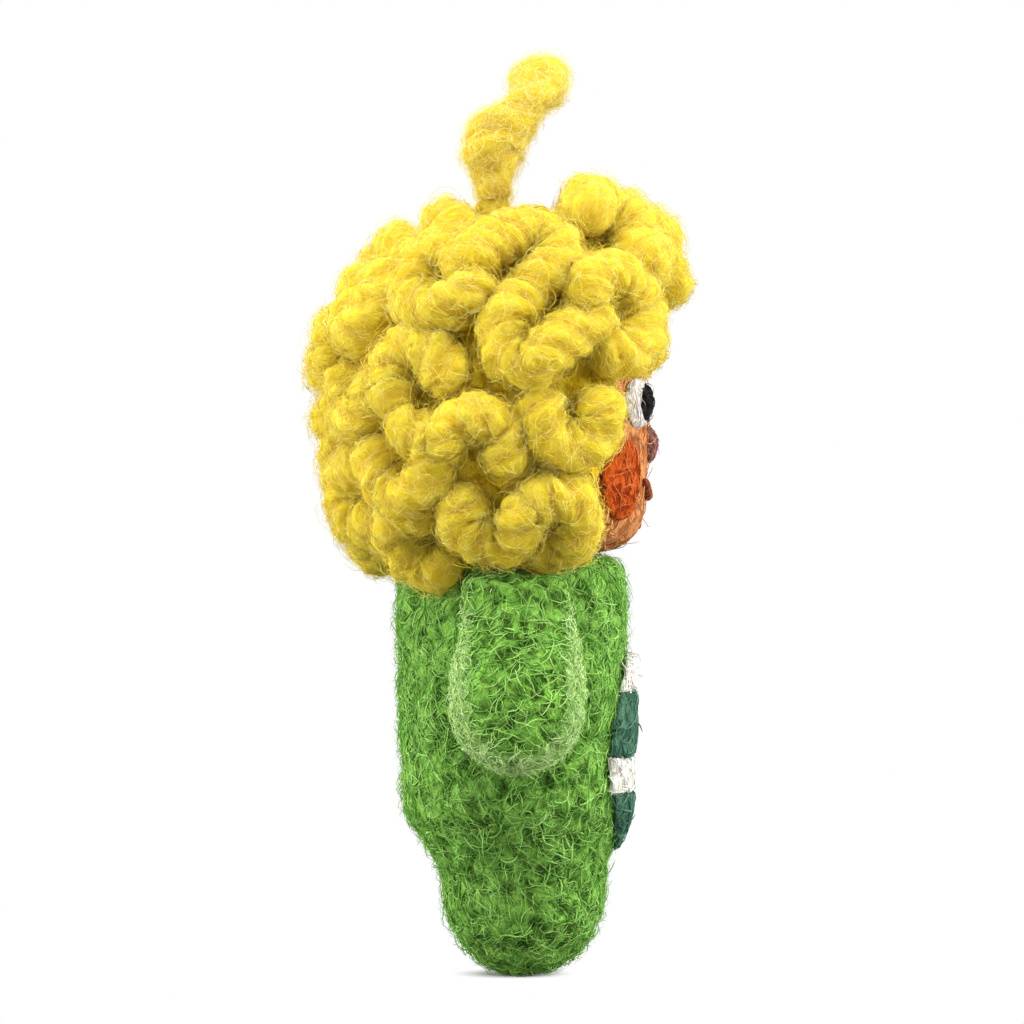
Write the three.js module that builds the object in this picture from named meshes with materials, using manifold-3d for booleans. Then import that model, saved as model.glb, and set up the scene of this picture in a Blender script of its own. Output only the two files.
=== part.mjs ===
// Felt doll ornament: a tapered green body with two flap arms and a striped belly pad, a brown head
// with yarn curls, and a yarn loop on the crown to hang it by.
// Millimetres, +Z up. The doll faces -Y and its right arm is on the -X side.
// The origin is the point under the top of the loop where a hook bears.

import * as THREE from 'three';
import { mergeVertices } from 'three/addons/utils/BufferGeometryUtils.js';
import Module from 'manifold-3d';

const wasm = await Module();
wasm.setup();

// Air between pieces that touch on the real doll
const CLEARANCE = 0.3;

// Body, from the flat foot up; a lean is how far a level's middle lies in front of the chest's
const BODY_HEIGHT = 57.3;
const FOOT_DEPTH = 7.2;
const FOOT_WIDTH = 10;
const FOOT_LEAN = 1.9;
const FOOT_FULLNESS = 1.7;
const ANKLE_HEIGHT = 12;
const ANKLE_DEPTH = 22.8;
const ANKLE_WIDTH = 27;
const ANKLE_LEAN = 1.6;
const RUMP_HEIGHT = 24;
const RUMP_DEPTH = 30.9;
const RUMP_WIDTH = 36;
const CHEST_HEIGHT = 40;
const CHEST_DEPTH = 31.8;
const CHEST_WIDTH = 39;
const SHOULDER_DEPTH = 32;
const SHOULDER_WIDTH = 38;
const SHOULDER_RADIUS = 3.5;
const BODY_SQUARENESS = 2.2;
const BODY_WALL = 5;

// Head and neck
const HEAD_WIDTH = 38.5;
const HEAD_DEPTH = 37;
const HEAD_HEIGHT = 41;
const CROWN_SQUARENESS = 2.3;
const JAW_SQUARENESS = 6;
const NAPE_SQUARENESS = 3;
const NECK_DIAMETER = 15;
const NECK_LENGTH = 10;

// Arms: a flap that hinges at its thin top and is thickest near its round end
const ARM_LENGTH = 24;
const ARM_WIDTH = 17.8;
const ARM_TOP_WIDTH = 15;
const ARM_TOP_THICKNESS = 4;
const ARM_THICKNESS = 7;
const ARM_WRAP = 1.8;
const ARM_SQUARENESS = 2.6;
const ARM_FORWARD = 0.7;
const SHOULDER_DROP = 4.8;

// Belly pad: a domed oval, cut across into stripes
const PAD_BOTTOM = 17.2;
const PAD_WIDTH = 21.6;
const PAD_LIFT = 1.1;
const PAD_EDGE = 0.5;
const LOW_TEAL_HEIGHT = 7.8;
const MID_CREAM_HEIGHT = 4.8;
const HIGH_TEAL_HEIGHT = 9;
const TOP_CREAM_HEIGHT = 4.8;
const STRIPES = [
  { name: 'belly_stripe_lower_teal', height: LOW_TEAL_HEIGHT, colour: 'teal' },
  { name: 'belly_stripe_mid_cream', height: MID_CREAM_HEIGHT, colour: 'cream' },
  { name: 'belly_stripe_upper_teal', height: HIGH_TEAL_HEIGHT, colour: 'teal' },
  { name: 'belly_stripe_top_cream', height: TOP_CREAM_HEIGHT, colour: 'cream' },
];

// Face: small domed felt pieces, placed by the turn from the middle of the face and the rise above eye level
const EYE_TURN = 24;
const EYE_WIDTH = 8.4;
const EYE_HEIGHT = 6.8;
const EYE_LIFT = 0.9;
const PUPIL_INWARD = 1;
const PUPIL_WIDTH = 4.2;
const PUPIL_HEIGHT = 4.6;
const PUPIL_LIFT = 0.7;
const NOSE_DROP = 16;
const NOSE_WIDTH = 4.8;
const NOSE_HEIGHT = 4.6;
const NOSE_LIFT = 1.3;
const CHEEK_TURN = 37;
const CHEEK_DROP = 28;
const CHEEK_WIDTH = 9.2;
const CHEEK_HEIGHT = 10;
const CHEEK_LIFT = 0.8;
const FACE_EDGE = 0.35;
const MOUTH_DROP = 34;
const MOUTH_TURN = 15;
const MOUTH_SMILE = 4;
const MOUTH_THICKNESS = 1.2;

// Hair: a felt cap on the head, and yarn curls on it; the room between neighbours sets how long a bight is
const CAP_THICKNESS = 1.2;
const CAP_TUCK = 0.3;
const CAP_TUCK_STEEPNESS = 4;
const HAIRLINE_FRONT = 18;
const HAIRLINE_BACK = -48;
const HAIRLINE_START = 44;
const HAIRLINE_END = 66;
const CURL_YARN = 6.8;
const CURL_GAP = 0.9;
const CURL_RISE = 1.2;
const HOOK_TAIL = 6;
const RING_RADIUS = 4.6;
const RING_OPENING = 124;
const FRINGE_LIFT = 3.4;
const PARTING_LIFT = 4.6;
const CROWN_LIFT = 3.4;
const TEMPLE_LIFT = 1.6;
const UPPER_LIFT = 1;
const SIDE_LIFT = 0.5;
const LOW_LIFT = 0.2;
// Turn from the face, rise above eye level, where the open side points (0 front, 90 up, 180 back), and
// how far the curl is lifted off its bed
const CURLS = [
  { name: 'temple', shape: 'ring', turn: 56, rise: 25, opens: 200, lift: TEMPLE_LIFT },
  { name: 'upper_side', shape: 'ring', turn: 115, rise: 36, opens: 45, lift: SIDE_LIFT },
  { name: 'mid_side', shape: 'hook', turn: 87, rise: 18, opens: 40, lift: SIDE_LIFT },
  { name: 'mid_front', shape: 'bight', turn: 73, rise: -9, opens: 90, lift: SIDE_LIFT },
  { name: 'low_rear', shape: 'ring', turn: 126, rise: -18, opens: 120, lift: LOW_LIFT },
  { name: 'low_front', shape: 'bight', turn: 73, rise: -39, opens: 185, lift: LOW_LIFT },
  { name: 'mid_back', shape: 'bight', turn: 122, rise: 10, opens: 285, lift: LOW_LIFT },
  { name: 'low_mid', shape: 'bight', turn: 100, rise: -9, opens: 265, lift: LOW_LIFT },
  { name: 'low_side', shape: 'bight', turn: 98, rise: -41, opens: 80, lift: LOW_LIFT },
  { name: 'low_back', shape: 'bight', turn: 129, rise: -46, opens: 10, lift: LOW_LIFT },
  { name: 'crown_front', shape: 'bight', turn: 32, rise: 60, opens: 245, lift: CROWN_LIFT },
  { name: 'fringe', shape: 'bight', turn: 26, rise: 43, opens: 265, lift: FRINGE_LIFT },
  { name: 'crown_mid', shape: 'hook', turn: 80, rise: 48, opens: 215, lift: UPPER_LIFT },
  { name: 'crown_side', shape: 'bight', turn: 137, rise: 57, opens: 175, lift: LOW_LIFT },
  { name: 'upper_back', shape: 'bight', turn: 149, rise: 28, opens: 120, lift: LOW_LIFT },
  { name: 'back_side', shape: 'bight', turn: 152, rise: -1, opens: 75, lift: LOW_LIFT },
  { name: 'back_low', shape: 'bight', turn: 155, rise: -30, opens: 0, lift: LOW_LIFT },
  { name: 'crown_back', shape: 'bight', turn: 180, rise: 46, opens: 0, lift: LOW_LIFT },
  { name: 'back_upper', shape: 'bight', turn: 180, rise: 16, opens: 90, lift: SIDE_LIFT },
  { name: 'back_mid', shape: 'bight', turn: 180, rise: -13, opens: 180, lift: SIDE_LIFT },
  { name: 'nape', shape: 'bight', turn: 180, rise: -45, opens: 90, lift: LOW_LIFT },
  { name: 'parting', shape: 'bight', turn: 0, rise: 53, opens: 90, lift: PARTING_LIFT },
];

// Hanging loop: a slubby yarn arch that leans forward as it rises, and its bight in the head
const LOOP_YARN = 6.4;
const LOOP_SLUB = 0.27;
const LOOP_SLUBS = 3;
const LOOP_SPREAD = 13.2;
const LOOP_HEIGHT = 14.7;
const LOOP_LEAN = 6.2;
const LOOP_LEAN_START = 5;
const LOOP_SET_BACK = 2.6;
const LOOP_ROOT_DEPTH = 13;

// Colours
const COLOURS = {
  green: 0x6fa33c,
  armGreen: 0x74a73c,
  brown: 0xb9713e,
  orange: 0xd0622a,
  teal: 0x2f6353,
  cream: 0xdcd8c8,
  white: 0xe6e1db,
  black: 0x141312,
  mauve: 0x7f4f48,
  russet: 0x7a3b2a,
  yellow: 0xe3c32c,
  undyed: 0xd8d0bd,
};

// Mesh fineness
const BODY_SIDES = 26;
const TRUNK_STEPS = 8;
const ROUND_STEPS = 4;
const HEAD_SIDES = 26;
const HEAD_STEPS = 15;
const CAP_STEPS = 8;
const ARM_SIDES = 18;
const ARM_STEPS = 6;
const PAD_SIDES = 20;
const PAD_STEPS = 4;
const FACE_SIDES = 14;
const FACE_STEPS = 3;
const CURL_SIDES = 5;
const CURL_STEPS = 8;
const LOOP_SIDES = 8;
const LOOP_STEPS = 24;
const END_STEPS = 1;
const WELD = 1e-4;
const SLIVER = 0.05;

const part = new THREE.Group();
part.name = 'felt_doll_ornament';

// Levels that follow from the sizes above, measured from the floor under the foot
const headMiddle = BODY_HEIGHT + CLEARANCE + HEAD_HEIGHT / 2;
const crownLevel = BODY_HEIGHT + CLEARANCE + HEAD_HEIGHT;
const capOffset = CLEARANCE + CAP_THICKNESS;
const pivotLevel = crownLevel + capOffset + CLEARANCE + CURL_YARN;
const archLevel = pivotLevel + LOOP_HEIGHT;
const shoulderLevel = BODY_HEIGHT - SHOULDER_DROP;
const hookPoint = new THREE.Vector3(
  0,
  LOOP_SET_BACK - LOOP_LEAN,
  archLevel - (LOOP_YARN / 2) * (1 + LOOP_SLUB),
);

function radians(degrees) {
  return (degrees * Math.PI) / 180;
}

function smooth(share) {
  return share * share * (3 - 2 * share);
}

function mix(from, to, share) {
  return from + (to - from) * share;
}

// Rings and skins

function ovalRing(halfWidth, halfDepth, squareness, sides, place) {
  const ring = [];
  for (let i = 0; i < sides; i += 1) {
    const angle = (2 * Math.PI * i) / sides;
    const cosine = Math.cos(angle);
    const sine = Math.sin(angle);
    const x = halfWidth * Math.sign(cosine) * Math.abs(cosine) ** (2 / squareness);
    const y = halfDepth * Math.sign(sine) * Math.abs(sine) ** (2 / squareness);
    ring.push(place(x, y));
  }
  return ring;
}

// A closed skin over rings that turn left about the way they are stacked, with a point at each end
function skin(rings, firstPoint, lastPoint) {
  const sides = rings[0].length;
  const points = [...rings.flat(), firstPoint, lastPoint];
  const first = points.length - 2;
  const last = points.length - 1;
  const faces = [];
  for (let i = 0; i < sides; i += 1) {
    const next = (i + 1) % sides;
    const top = (rings.length - 1) * sides;
    faces.push(first, next, i);
    faces.push(last, top + i, top + next);
    for (let level = 0; level < rings.length - 1; level += 1) {
      const low = level * sides;
      const high = low + sides;
      faces.push(low + i, low + next, high + next);
      faces.push(low + i, high + next, high + i);
    }
  }
  const geometry = new THREE.BufferGeometry();
  geometry.setFromPoints(points);
  geometry.setIndex(faces);
  return geometry;
}

// Solids and cuts

function solidOf(geometry) {
  const bare = new THREE.BufferGeometry();
  bare.setAttribute('position', geometry.getAttribute('position').clone());
  bare.setIndex(geometry.getIndex().clone());
  const joined = mergeVertices(bare, WELD);
  return new wasm.Manifold(new wasm.Mesh({
    numProp: 3,
    vertProperties: new Float32Array(joined.getAttribute('position').array),
    triVerts: new Uint32Array(joined.getIndex().array),
  }));
}

function geometryOf(solid) {
  const mesh = solid.getMesh();
  const geometry = new THREE.BufferGeometry();
  geometry.setAttribute('position', new THREE.BufferAttribute(new Float32Array(mesh.vertProperties), 3));
  geometry.setIndex(new THREE.BufferAttribute(new Uint32Array(mesh.triVerts), 1));
  return geometry;
}

// The largest piece of what a cut has left, without slivers
function largest(solid) {
  const pieces = solid.asOriginal().simplify(SLIVER).decompose();
  return pieces.reduce((best, piece) => (piece.volume() > best.volume() ? piece : best));
}

function addPiece(name, geometry, colour) {
  geometry.computeVertexNormals();
  const material = new THREE.MeshStandardMaterial({ color: COLOURS[colour], roughness: 0.95 });
  const mesh = new THREE.Mesh(geometry, material);
  mesh.name = name;
  part.add(mesh);
}

function upright(radius, bottom, top) {
  const height = top - bottom;
  const cylinder = new THREE.CylinderGeometry(radius, radius, height, BODY_SIDES);
  cylinder.rotateX(Math.PI / 2);
  cylinder.translate(0, 0, bottom + height / 2);
  return solidOf(cylinder);
}

// Body

const BODY_LEVELS = [
  { height: ANKLE_HEIGHT, depth: ANKLE_DEPTH, width: ANKLE_WIDTH, lean: ANKLE_LEAN },
  { height: RUMP_HEIGHT, depth: RUMP_DEPTH, width: RUMP_WIDTH, lean: 0 },
  { height: CHEST_HEIGHT, depth: CHEST_DEPTH, width: CHEST_WIDTH, lean: 0 },
  { height: BODY_HEIGHT, depth: SHOULDER_DEPTH, width: SHOULDER_WIDTH, lean: 0 },
];

// Half sizes of the body at a height: a rounded foot, a trunk eased from level to level, a rounded shoulder
function bodySection(height) {
  if (height < ANKLE_HEIGHT) {
    const drop = (ANKLE_HEIGHT - height) / ANKLE_HEIGHT;
    const swell = Math.max(0, 1 - drop ** FOOT_FULLNESS) ** (1 / FOOT_FULLNESS);
    return {
      halfWidth: mix(FOOT_WIDTH, ANKLE_WIDTH, swell) / 2,
      halfDepth: mix(FOOT_DEPTH, ANKLE_DEPTH, swell) / 2,
      lean: mix(FOOT_LEAN, ANKLE_LEAN, swell),
    };
  }
  let level = 0;
  while (level < BODY_LEVELS.length - 2 && height > BODY_LEVELS[level + 1].height) {
    level += 1;
  }
  const low = BODY_LEVELS[level];
  const high = BODY_LEVELS[level + 1];
  const share = smooth((height - low.height) / (high.height - low.height));
  const roundStart = BODY_HEIGHT - SHOULDER_RADIUS;
  const past = Math.max(0, height - roundStart);
  const round = SHOULDER_RADIUS - Math.sqrt(Math.max(0, SHOULDER_RADIUS ** 2 - past ** 2));
  return {
    halfWidth: mix(low.width, high.width, share) / 2 - round,
    halfDepth: mix(low.depth, high.depth, share) / 2 - round,
    lean: mix(low.lean, high.lean, share),
  };
}

function bodyHeights() {
  const heights = [];
  for (let step = 0; step < ROUND_STEPS + 1; step += 1) {
    heights.push(ANKLE_HEIGHT * (1 - Math.cos((Math.PI * step) / (2 * (ROUND_STEPS + 1)))));
  }
  const roundStart = BODY_HEIGHT - SHOULDER_RADIUS;
  for (let step = 0; step < TRUNK_STEPS; step += 1) {
    heights.push(mix(ANKLE_HEIGHT, roundStart, step / TRUNK_STEPS));
  }
  for (let step = 0; step <= ROUND_STEPS; step += 1) {
    heights.push(roundStart + SHOULDER_RADIUS * Math.sin((Math.PI * step) / (2 * ROUND_STEPS)));
  }
  return heights;
}

// The body's form, moved in by a wall; a wall below zero gives the form that cuts its neighbours
function bodyForm(wall) {
  const shrink = (BODY_HEIGHT - 2 * wall) / BODY_HEIGHT;
  const rings = bodyHeights().map((height) => {
    const level = wall + height * shrink;
    const section = bodySection(height);
    const halfWidth = section.halfWidth - wall;
    const halfDepth = section.halfDepth - wall;
    const place = (x, y) => new THREE.Vector3(x, y - section.lean, level);
    return ovalRing(halfWidth, halfDepth, BODY_SQUARENESS, BODY_SIDES, place);
  });
  const bottom = new THREE.Vector3(0, -FOOT_LEAN, wall);
  const top = new THREE.Vector3(0, 0, BODY_HEIGHT - wall);
  return solidOf(skin(rings, bottom, top));
}

const neckRadius = NECK_DIAMETER / 2;
const neckBottom = BODY_HEIGHT - NECK_LENGTH;
const neckHole = upright(neckRadius + CLEARANCE, neckBottom - CLEARANCE, crownLevel);
const bodyCavity = bodyForm(BODY_WALL);
const body = bodyForm(0).subtract(bodyCavity).subtract(neckHole);
addPiece('body', geometryOf(body), 'green');
addPiece('body_core', geometryOf(bodyForm(BODY_WALL + CLEARANCE).subtract(neckHole)), 'undyed');

// Head

// How far the head reaches from its middle along a direction
function headReach(way) {
  const level = Math.hypot(way.x / (HEAD_WIDTH / 2), way.y / (HEAD_DEPTH / 2));
  const upward = Math.abs(way.z) / (HEAD_HEIGHT / 2);
  const facing = Math.max(0, -way.y / (Math.hypot(way.x, way.y) || 1));
  const power = way.z > 0 ? CROWN_SQUARENESS : mix(NAPE_SQUARENESS, JAW_SQUARENESS, smooth(facing));
  return (level ** power + upward ** power) ** (-1 / power);
}

// A direction from the head's middle: the turn runs from the face towards the doll's right side
function headWay(turn, rise) {
  const level = Math.cos(radians(rise));
  return new THREE.Vector3(
    -level * Math.sin(radians(turn)),
    -level * Math.cos(radians(turn)),
    Math.sin(radians(rise)),
  );
}

function headPoint(way, offset) {
  const point = way.clone().multiplyScalar(headReach(way) + offset);
  point.z += headMiddle;
  return point;
}

function headForm(offset) {
  const ball = new THREE.SphereGeometry(1, HEAD_SIDES, HEAD_STEPS);
  ball.rotateX(Math.PI / 2);
  const places = ball.getAttribute('position');
  for (let i = 0; i < places.count; i += 1) {
    const way = new THREE.Vector3().fromBufferAttribute(places, i).normalize();
    const point = headPoint(way, offset);
    places.setXYZ(i, point.x, point.y, point.z);
  }
  return solidOf(ball);
}

// Tubes

// Directions across a path, carried along it without twist
function pathFrames(points) {
  const ways = points.map((point, i) => {
    const before = points[Math.max(i - 1, 0)];
    const after = points[Math.min(i + 1, points.length - 1)];
    return after.clone().sub(before).normalize();
  });
  const helper = Math.abs(ways[0].z) < 0.8 ? new THREE.Vector3(0, 0, 1) : new THREE.Vector3(0, 1, 0);
  let side = helper.sub(ways[0].clone().multiplyScalar(helper.dot(ways[0]))).normalize();
  return ways.map((way) => {
    side = side.clone().sub(way.clone().multiplyScalar(side.dot(way))).normalize();
    return { way, side, other: way.clone().cross(side) };
  });
}

function tubeRing(centre, frame, radius, sides) {
  const place = (x, y) => centre.clone().addScaledVector(frame.side, x).addScaledVector(frame.other, y);
  return ovalRing(radius, radius, 2, sides, place);
}

// One unbroken tube along points, with its own radius at each of them
function tube(points, radii, sides, roundEnds) {
  const frames = pathFrames(points);
  const finish = points.length - 1;
  const rings = points.map((point, i) => tubeRing(point, frames[i], radii[i], sides));
  let firstPoint = points[0].clone();
  let lastPoint = points[finish].clone();
  if (roundEnds) {
    firstPoint = firstPoint.addScaledVector(frames[0].way, -radii[0]);
    lastPoint = lastPoint.addScaledVector(frames[finish].way, radii[finish]);
    for (let step = 1; step <= END_STEPS; step += 1) {
      const angle = (Math.PI * step) / (2 * (END_STEPS + 1));
      const past = Math.sin(angle);
      const narrow = Math.cos(angle);
      const back = points[0].clone().addScaledVector(frames[0].way, -radii[0] * past);
      const ahead = points[finish].clone().addScaledVector(frames[finish].way, radii[finish] * past);
      rings.unshift(tubeRing(back, frames[0], radii[0] * narrow, sides));
      rings.push(tubeRing(ahead, frames[finish], radii[finish] * narrow, sides));
    }
  }
  return skin(rings, firstPoint, lastPoint);
}

// The least air between parts of one tube that lie more than half a turn apart along it
function gapToItself(points, radii) {
  let least = Infinity;
  const along = [0];
  for (let i = 1; i < points.length; i += 1) {
    along.push(along[i - 1] + points[i].distanceTo(points[i - 1]));
  }
  for (let i = 0; i < points.length; i += 1) {
    for (let j = i + 1; j < points.length; j += 1) {
      const reach = radii[i] + radii[j];
      if (along[j] - along[i] > (Math.PI / 2) * reach) {
        least = Math.min(least, points[i].distanceTo(points[j]) - reach);
      }
    }
  }
  return least;
}

// Hanging loop

const loopRadius = LOOP_YARN / 2;
const legRadius = loopRadius * (1 - LOOP_SLUB);
const halfSpread = LOOP_SPREAD / 2;
const legLength = LOOP_HEIGHT - halfSpread;

// The arch: up one leg, round the top and down the other, leaning forward with height
const loopPoints = [];
const loopRadii = [];
const archLength = 2 * legLength + Math.PI * halfSpread;
for (let step = 0; step <= LOOP_STEPS; step += 1) {
  const along = (archLength * step) / LOOP_STEPS;
  let x = -halfSpread;
  let height = along;
  if (along > legLength && along < archLength - legLength) {
    const angle = (along - legLength) / halfSpread;
    x = -halfSpread * Math.cos(angle);
    height = legLength + halfSpread * Math.sin(angle);
  } else if (along >= archLength - legLength) {
    x = halfSpread;
    height = archLength - along;
  }
  const leaning = Math.max(0, height - LOOP_LEAN_START) / (LOOP_HEIGHT - LOOP_LEAN_START);
  const forward = LOOP_LEAN * smooth(leaning);
  const slub = Math.cos(2 * Math.PI * LOOP_SLUBS * (step / LOOP_STEPS - 0.5));
  loopPoints.push(new THREE.Vector3(x, LOOP_SET_BACK - forward, pivotLevel + height));
  loopRadii.push(loopRadius * (1 + LOOP_SLUB * slub));
}
addPiece('hanging_loop', tube(loopPoints, loopRadii, LOOP_SIDES, true), 'yellow');

// The bight below it: down into the head, round, and up again
function bightPoints(top) {
  const points = [];
  const turnLevel = crownLevel - LOOP_ROOT_DEPTH + halfSpread + legRadius;
  const straight = [top, mix(top, turnLevel, 0.5)];
  straight.forEach((level) => points.push(new THREE.Vector3(-halfSpread, LOOP_SET_BACK, level)));
  for (let step = 0; step <= LOOP_STEPS / 2; step += 1) {
    const angle = (Math.PI * step) / (LOOP_STEPS / 2);
    const x = -halfSpread * Math.cos(angle);
    points.push(new THREE.Vector3(x, LOOP_SET_BACK, turnLevel - halfSpread * Math.sin(angle)));
  }
  straight.reverse();
  straight.forEach((level) => points.push(new THREE.Vector3(halfSpread, LOOP_SET_BACK, level)));
  return points;
}

const rootPoints = bightPoints(pivotLevel - legRadius - CLEARANCE);
const rootRadii = rootPoints.map(() => legRadius);
addPiece('loop_root', tube(rootPoints, rootRadii, LOOP_SIDES, false), 'yellow');

const pocketPoints = bightPoints(pivotLevel);
const pocketRadii = pocketPoints.map(() => legRadius + CLEARANCE);
const pocket = solidOf(tube(pocketPoints, pocketRadii, LOOP_SIDES, false));
const neck = upright(neckRadius, neckBottom, BODY_HEIGHT + CLEARANCE + HEAD_HEIGHT / 4);
addPiece('head', geometryOf(largest(headForm(0).add(neck).subtract(pocket))), 'brown');

// Felt pieces laid on a surface

// A domed oval whose back follows the surface under it; place(across, up, offset) is a point over that
function laidPiece(width, height, lift, edge, sides, steps, place) {
  const backRings = [];
  const frontRings = [];
  for (let step = 1; step <= steps; step += 1) {
    const share = step / steps;
    const dome = edge + (lift - edge) * (1 - share ** 2);
    const halfWidth = (width / 2) * share;
    const halfHeight = (height / 2) * share;
    const onBack = (across, up) => place(across, up, CLEARANCE);
    const onFront = (across, up) => place(across, up, CLEARANCE + dome);
    backRings.push(ovalRing(halfWidth, halfHeight, 2, sides, onBack));
    frontRings.unshift(ovalRing(halfWidth, halfHeight, 2, sides, onFront));
  }
  return skin([...backRings, ...frontRings], place(0, 0, CLEARANCE), place(0, 0, CLEARANCE + lift));
}

// Points over the head, measured across and up from a place on it
function overHead(turn, rise) {
  const middle = headWay(turn, rise);
  const reach = headReach(middle);
  const across = new THREE.Vector3(0, 0, 1).cross(middle).normalize();
  const up = middle.clone().cross(across);
  return (right, high, offset) => {
    const way = middle.clone().addScaledVector(across, right / reach).addScaledVector(up, high / reach);
    return headPoint(way.normalize(), offset);
  };
}

function facePiece(width, height, lift, place) {
  return laidPiece(width, height, lift, FACE_EDGE, FACE_SIDES, FACE_STEPS, place);
}

const SIDES = [
  { name: 'right', sign: 1 },
  { name: 'left', sign: -1 },
];

SIDES.forEach((side) => {
  const overEye = overHead(side.sign * EYE_TURN, 0);
  const eye = facePiece(EYE_WIDTH, EYE_HEIGHT, EYE_LIFT, overEye);
  addPiece(`${side.name}_eye_white`, eye, 'white');
  const overWhite = (across, up, offset) => {
    const moved = across + side.sign * PUPIL_INWARD;
    const share = Math.hypot(moved / (EYE_WIDTH / 2), up / (EYE_HEIGHT / 2));
    const dome = FACE_EDGE + (EYE_LIFT - FACE_EDGE) * (1 - share ** 2);
    return overEye(moved, up, CLEARANCE + dome + offset);
  };
  addPiece(`${side.name}_pupil`, facePiece(PUPIL_WIDTH, PUPIL_HEIGHT, PUPIL_LIFT, overWhite), 'black');
  const overCheek = overHead(side.sign * CHEEK_TURN, -CHEEK_DROP);
  addPiece(`${side.name}_cheek`, facePiece(CHEEK_WIDTH, CHEEK_HEIGHT, CHEEK_LIFT, overCheek), 'orange');
});

addPiece('nose', facePiece(NOSE_WIDTH, NOSE_HEIGHT, NOSE_LIFT, overHead(0, -NOSE_DROP)), 'mauve');

const mouthPoints = [];
for (let step = 0; step <= CURL_STEPS; step += 1) {
  const share = (2 * step) / CURL_STEPS - 1;
  const way = headWay(MOUTH_TURN * share, MOUTH_SMILE * share ** 2 - MOUTH_DROP);
  mouthPoints.push(headPoint(way, CLEARANCE + MOUTH_THICKNESS / 2));
}
const mouthRadii = mouthPoints.map(() => MOUTH_THICKNESS / 2);
addPiece('mouth', tube(mouthPoints, mouthRadii, CURL_SIDES, true), 'russet');

// Belly stripes

const padHeight = STRIPES.reduce((sum, stripe) => sum + stripe.height, 0);
const padMiddle = PAD_BOTTOM + padHeight / 2;

function overBelly(across, up, offset) {
  const level = padMiddle + up;
  const section = bodySection(level);
  const aside = Math.min(1, Math.abs(across) / section.halfWidth);
  const front = section.halfDepth * (1 - aside ** BODY_SQUARENESS) ** (1 / BODY_SQUARENESS);
  return new THREE.Vector3(across, -section.lean - front - offset, level);
}

const pad = solidOf(laidPiece(PAD_WIDTH, padHeight, PAD_LIFT, PAD_EDGE, PAD_SIDES, PAD_STEPS, overBelly));
let stripeBottom = PAD_BOTTOM;
STRIPES.forEach((stripe, i) => {
  const above = i === STRIPES.length - 1 ? 0 : CLEARANCE;
  const height = stripe.height - above;
  const slab = new THREE.BoxGeometry(PAD_WIDTH * 2, BODY_HEIGHT * 2, height);
  slab.translate(0, 0, stripeBottom + height / 2);
  addPiece(stripe.name, geometryOf(pad.intersect(solidOf(slab))), stripe.colour);
  stripeBottom += stripe.height;
});

// Arms

const armTopRadius = ARM_TOP_THICKNESS / 2;
const armEndLength = ARM_WIDTH / 2;
const armStraight = ARM_LENGTH - armEndLength;

// Half sizes of the flap at a distance down from its hinge line
function armSection(down) {
  const swell = smooth(Math.min(1, Math.max(0, down / armStraight)));
  const past = Math.max(0, down - armStraight) / armEndLength;
  const taper = Math.sqrt(Math.max(0, 1 - past ** 2));
  const top = armTopRadius - Math.sqrt(armTopRadius ** 2 - Math.min(0, down) ** 2);
  return {
    halfWidth: (mix(ARM_TOP_WIDTH, ARM_WIDTH, swell) / 2) * taper - top,
    halfThickness: (mix(ARM_TOP_THICKNESS, ARM_THICKNESS, swell) / 2) * taper - top,
  };
}

function armPoint(sign, down, across) {
  const side = bodySection(shoulderLevel - Math.max(0, Math.min(down, armStraight))).halfWidth + CLEARANCE;
  const thickness = armSection(Math.max(0, Math.min(down, armStraight))).halfThickness;
  const wrap = ARM_WRAP * (across / armEndLength) ** 2;
  return new THREE.Vector3(sign * (side + thickness - wrap), across - ARM_FORWARD, shoulderLevel - down);
}

function armForm(sign) {
  const downs = [];
  for (let step = 1; step <= ARM_STEPS; step += 1) {
    downs.push(armStraight + armEndLength * Math.cos((Math.PI * step) / (2 * ARM_STEPS)));
  }
  for (let step = 1; step <= ARM_STEPS; step += 1) {
    downs.push(armStraight * (1 - step / ARM_STEPS));
  }
  for (let step = 1; step < ROUND_STEPS; step += 1) {
    downs.push(-armTopRadius * Math.sin((Math.PI * step) / (2 * ROUND_STEPS)));
  }
  const rings = downs.map((down) => {
    const section = armSection(down);
    const place = (x, y) => armPoint(sign, down, y).add(new THREE.Vector3(x, 0, 0));
    return ovalRing(section.halfThickness, section.halfWidth, ARM_SQUARENESS, ARM_SIDES, place);
  });
  return skin(rings, armPoint(sign, ARM_LENGTH, 0), armPoint(sign, -armTopRadius, 0));
}

SIDES.forEach((side) => addPiece(`${side.name}_arm`, armForm(-side.sign), 'armGreen'));

// Hair

// A point over the bed that curls lie on: the head above eye level, below it a wall tucked in a little
function hairPoint(from, offset) {
  if (from.z >= 0) {
    return headPoint(from.clone().normalize(), offset);
  }
  const level = Math.hypot(from.x, from.y);
  const reach = level / Math.hypot(from.x / (HEAD_WIDTH / 2), from.y / (HEAD_DEPTH / 2));
  const tuck = 1 - CAP_TUCK * (from.z / (HEAD_HEIGHT / 2)) ** CAP_TUCK_STEEPNESS;
  const out = (reach * tuck + offset) / level;
  return new THREE.Vector3(from.x * out, from.y * out, headMiddle + from.z);
}

const headCentre = new THREE.Vector3(0, 0, headMiddle);
const yarnRadius = CURL_YARN / 2;
const bedOffset = capOffset + CLEARANCE + yarnRadius;
const bedReach = HEAD_HEIGHT / 2 + bedOffset;

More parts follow.
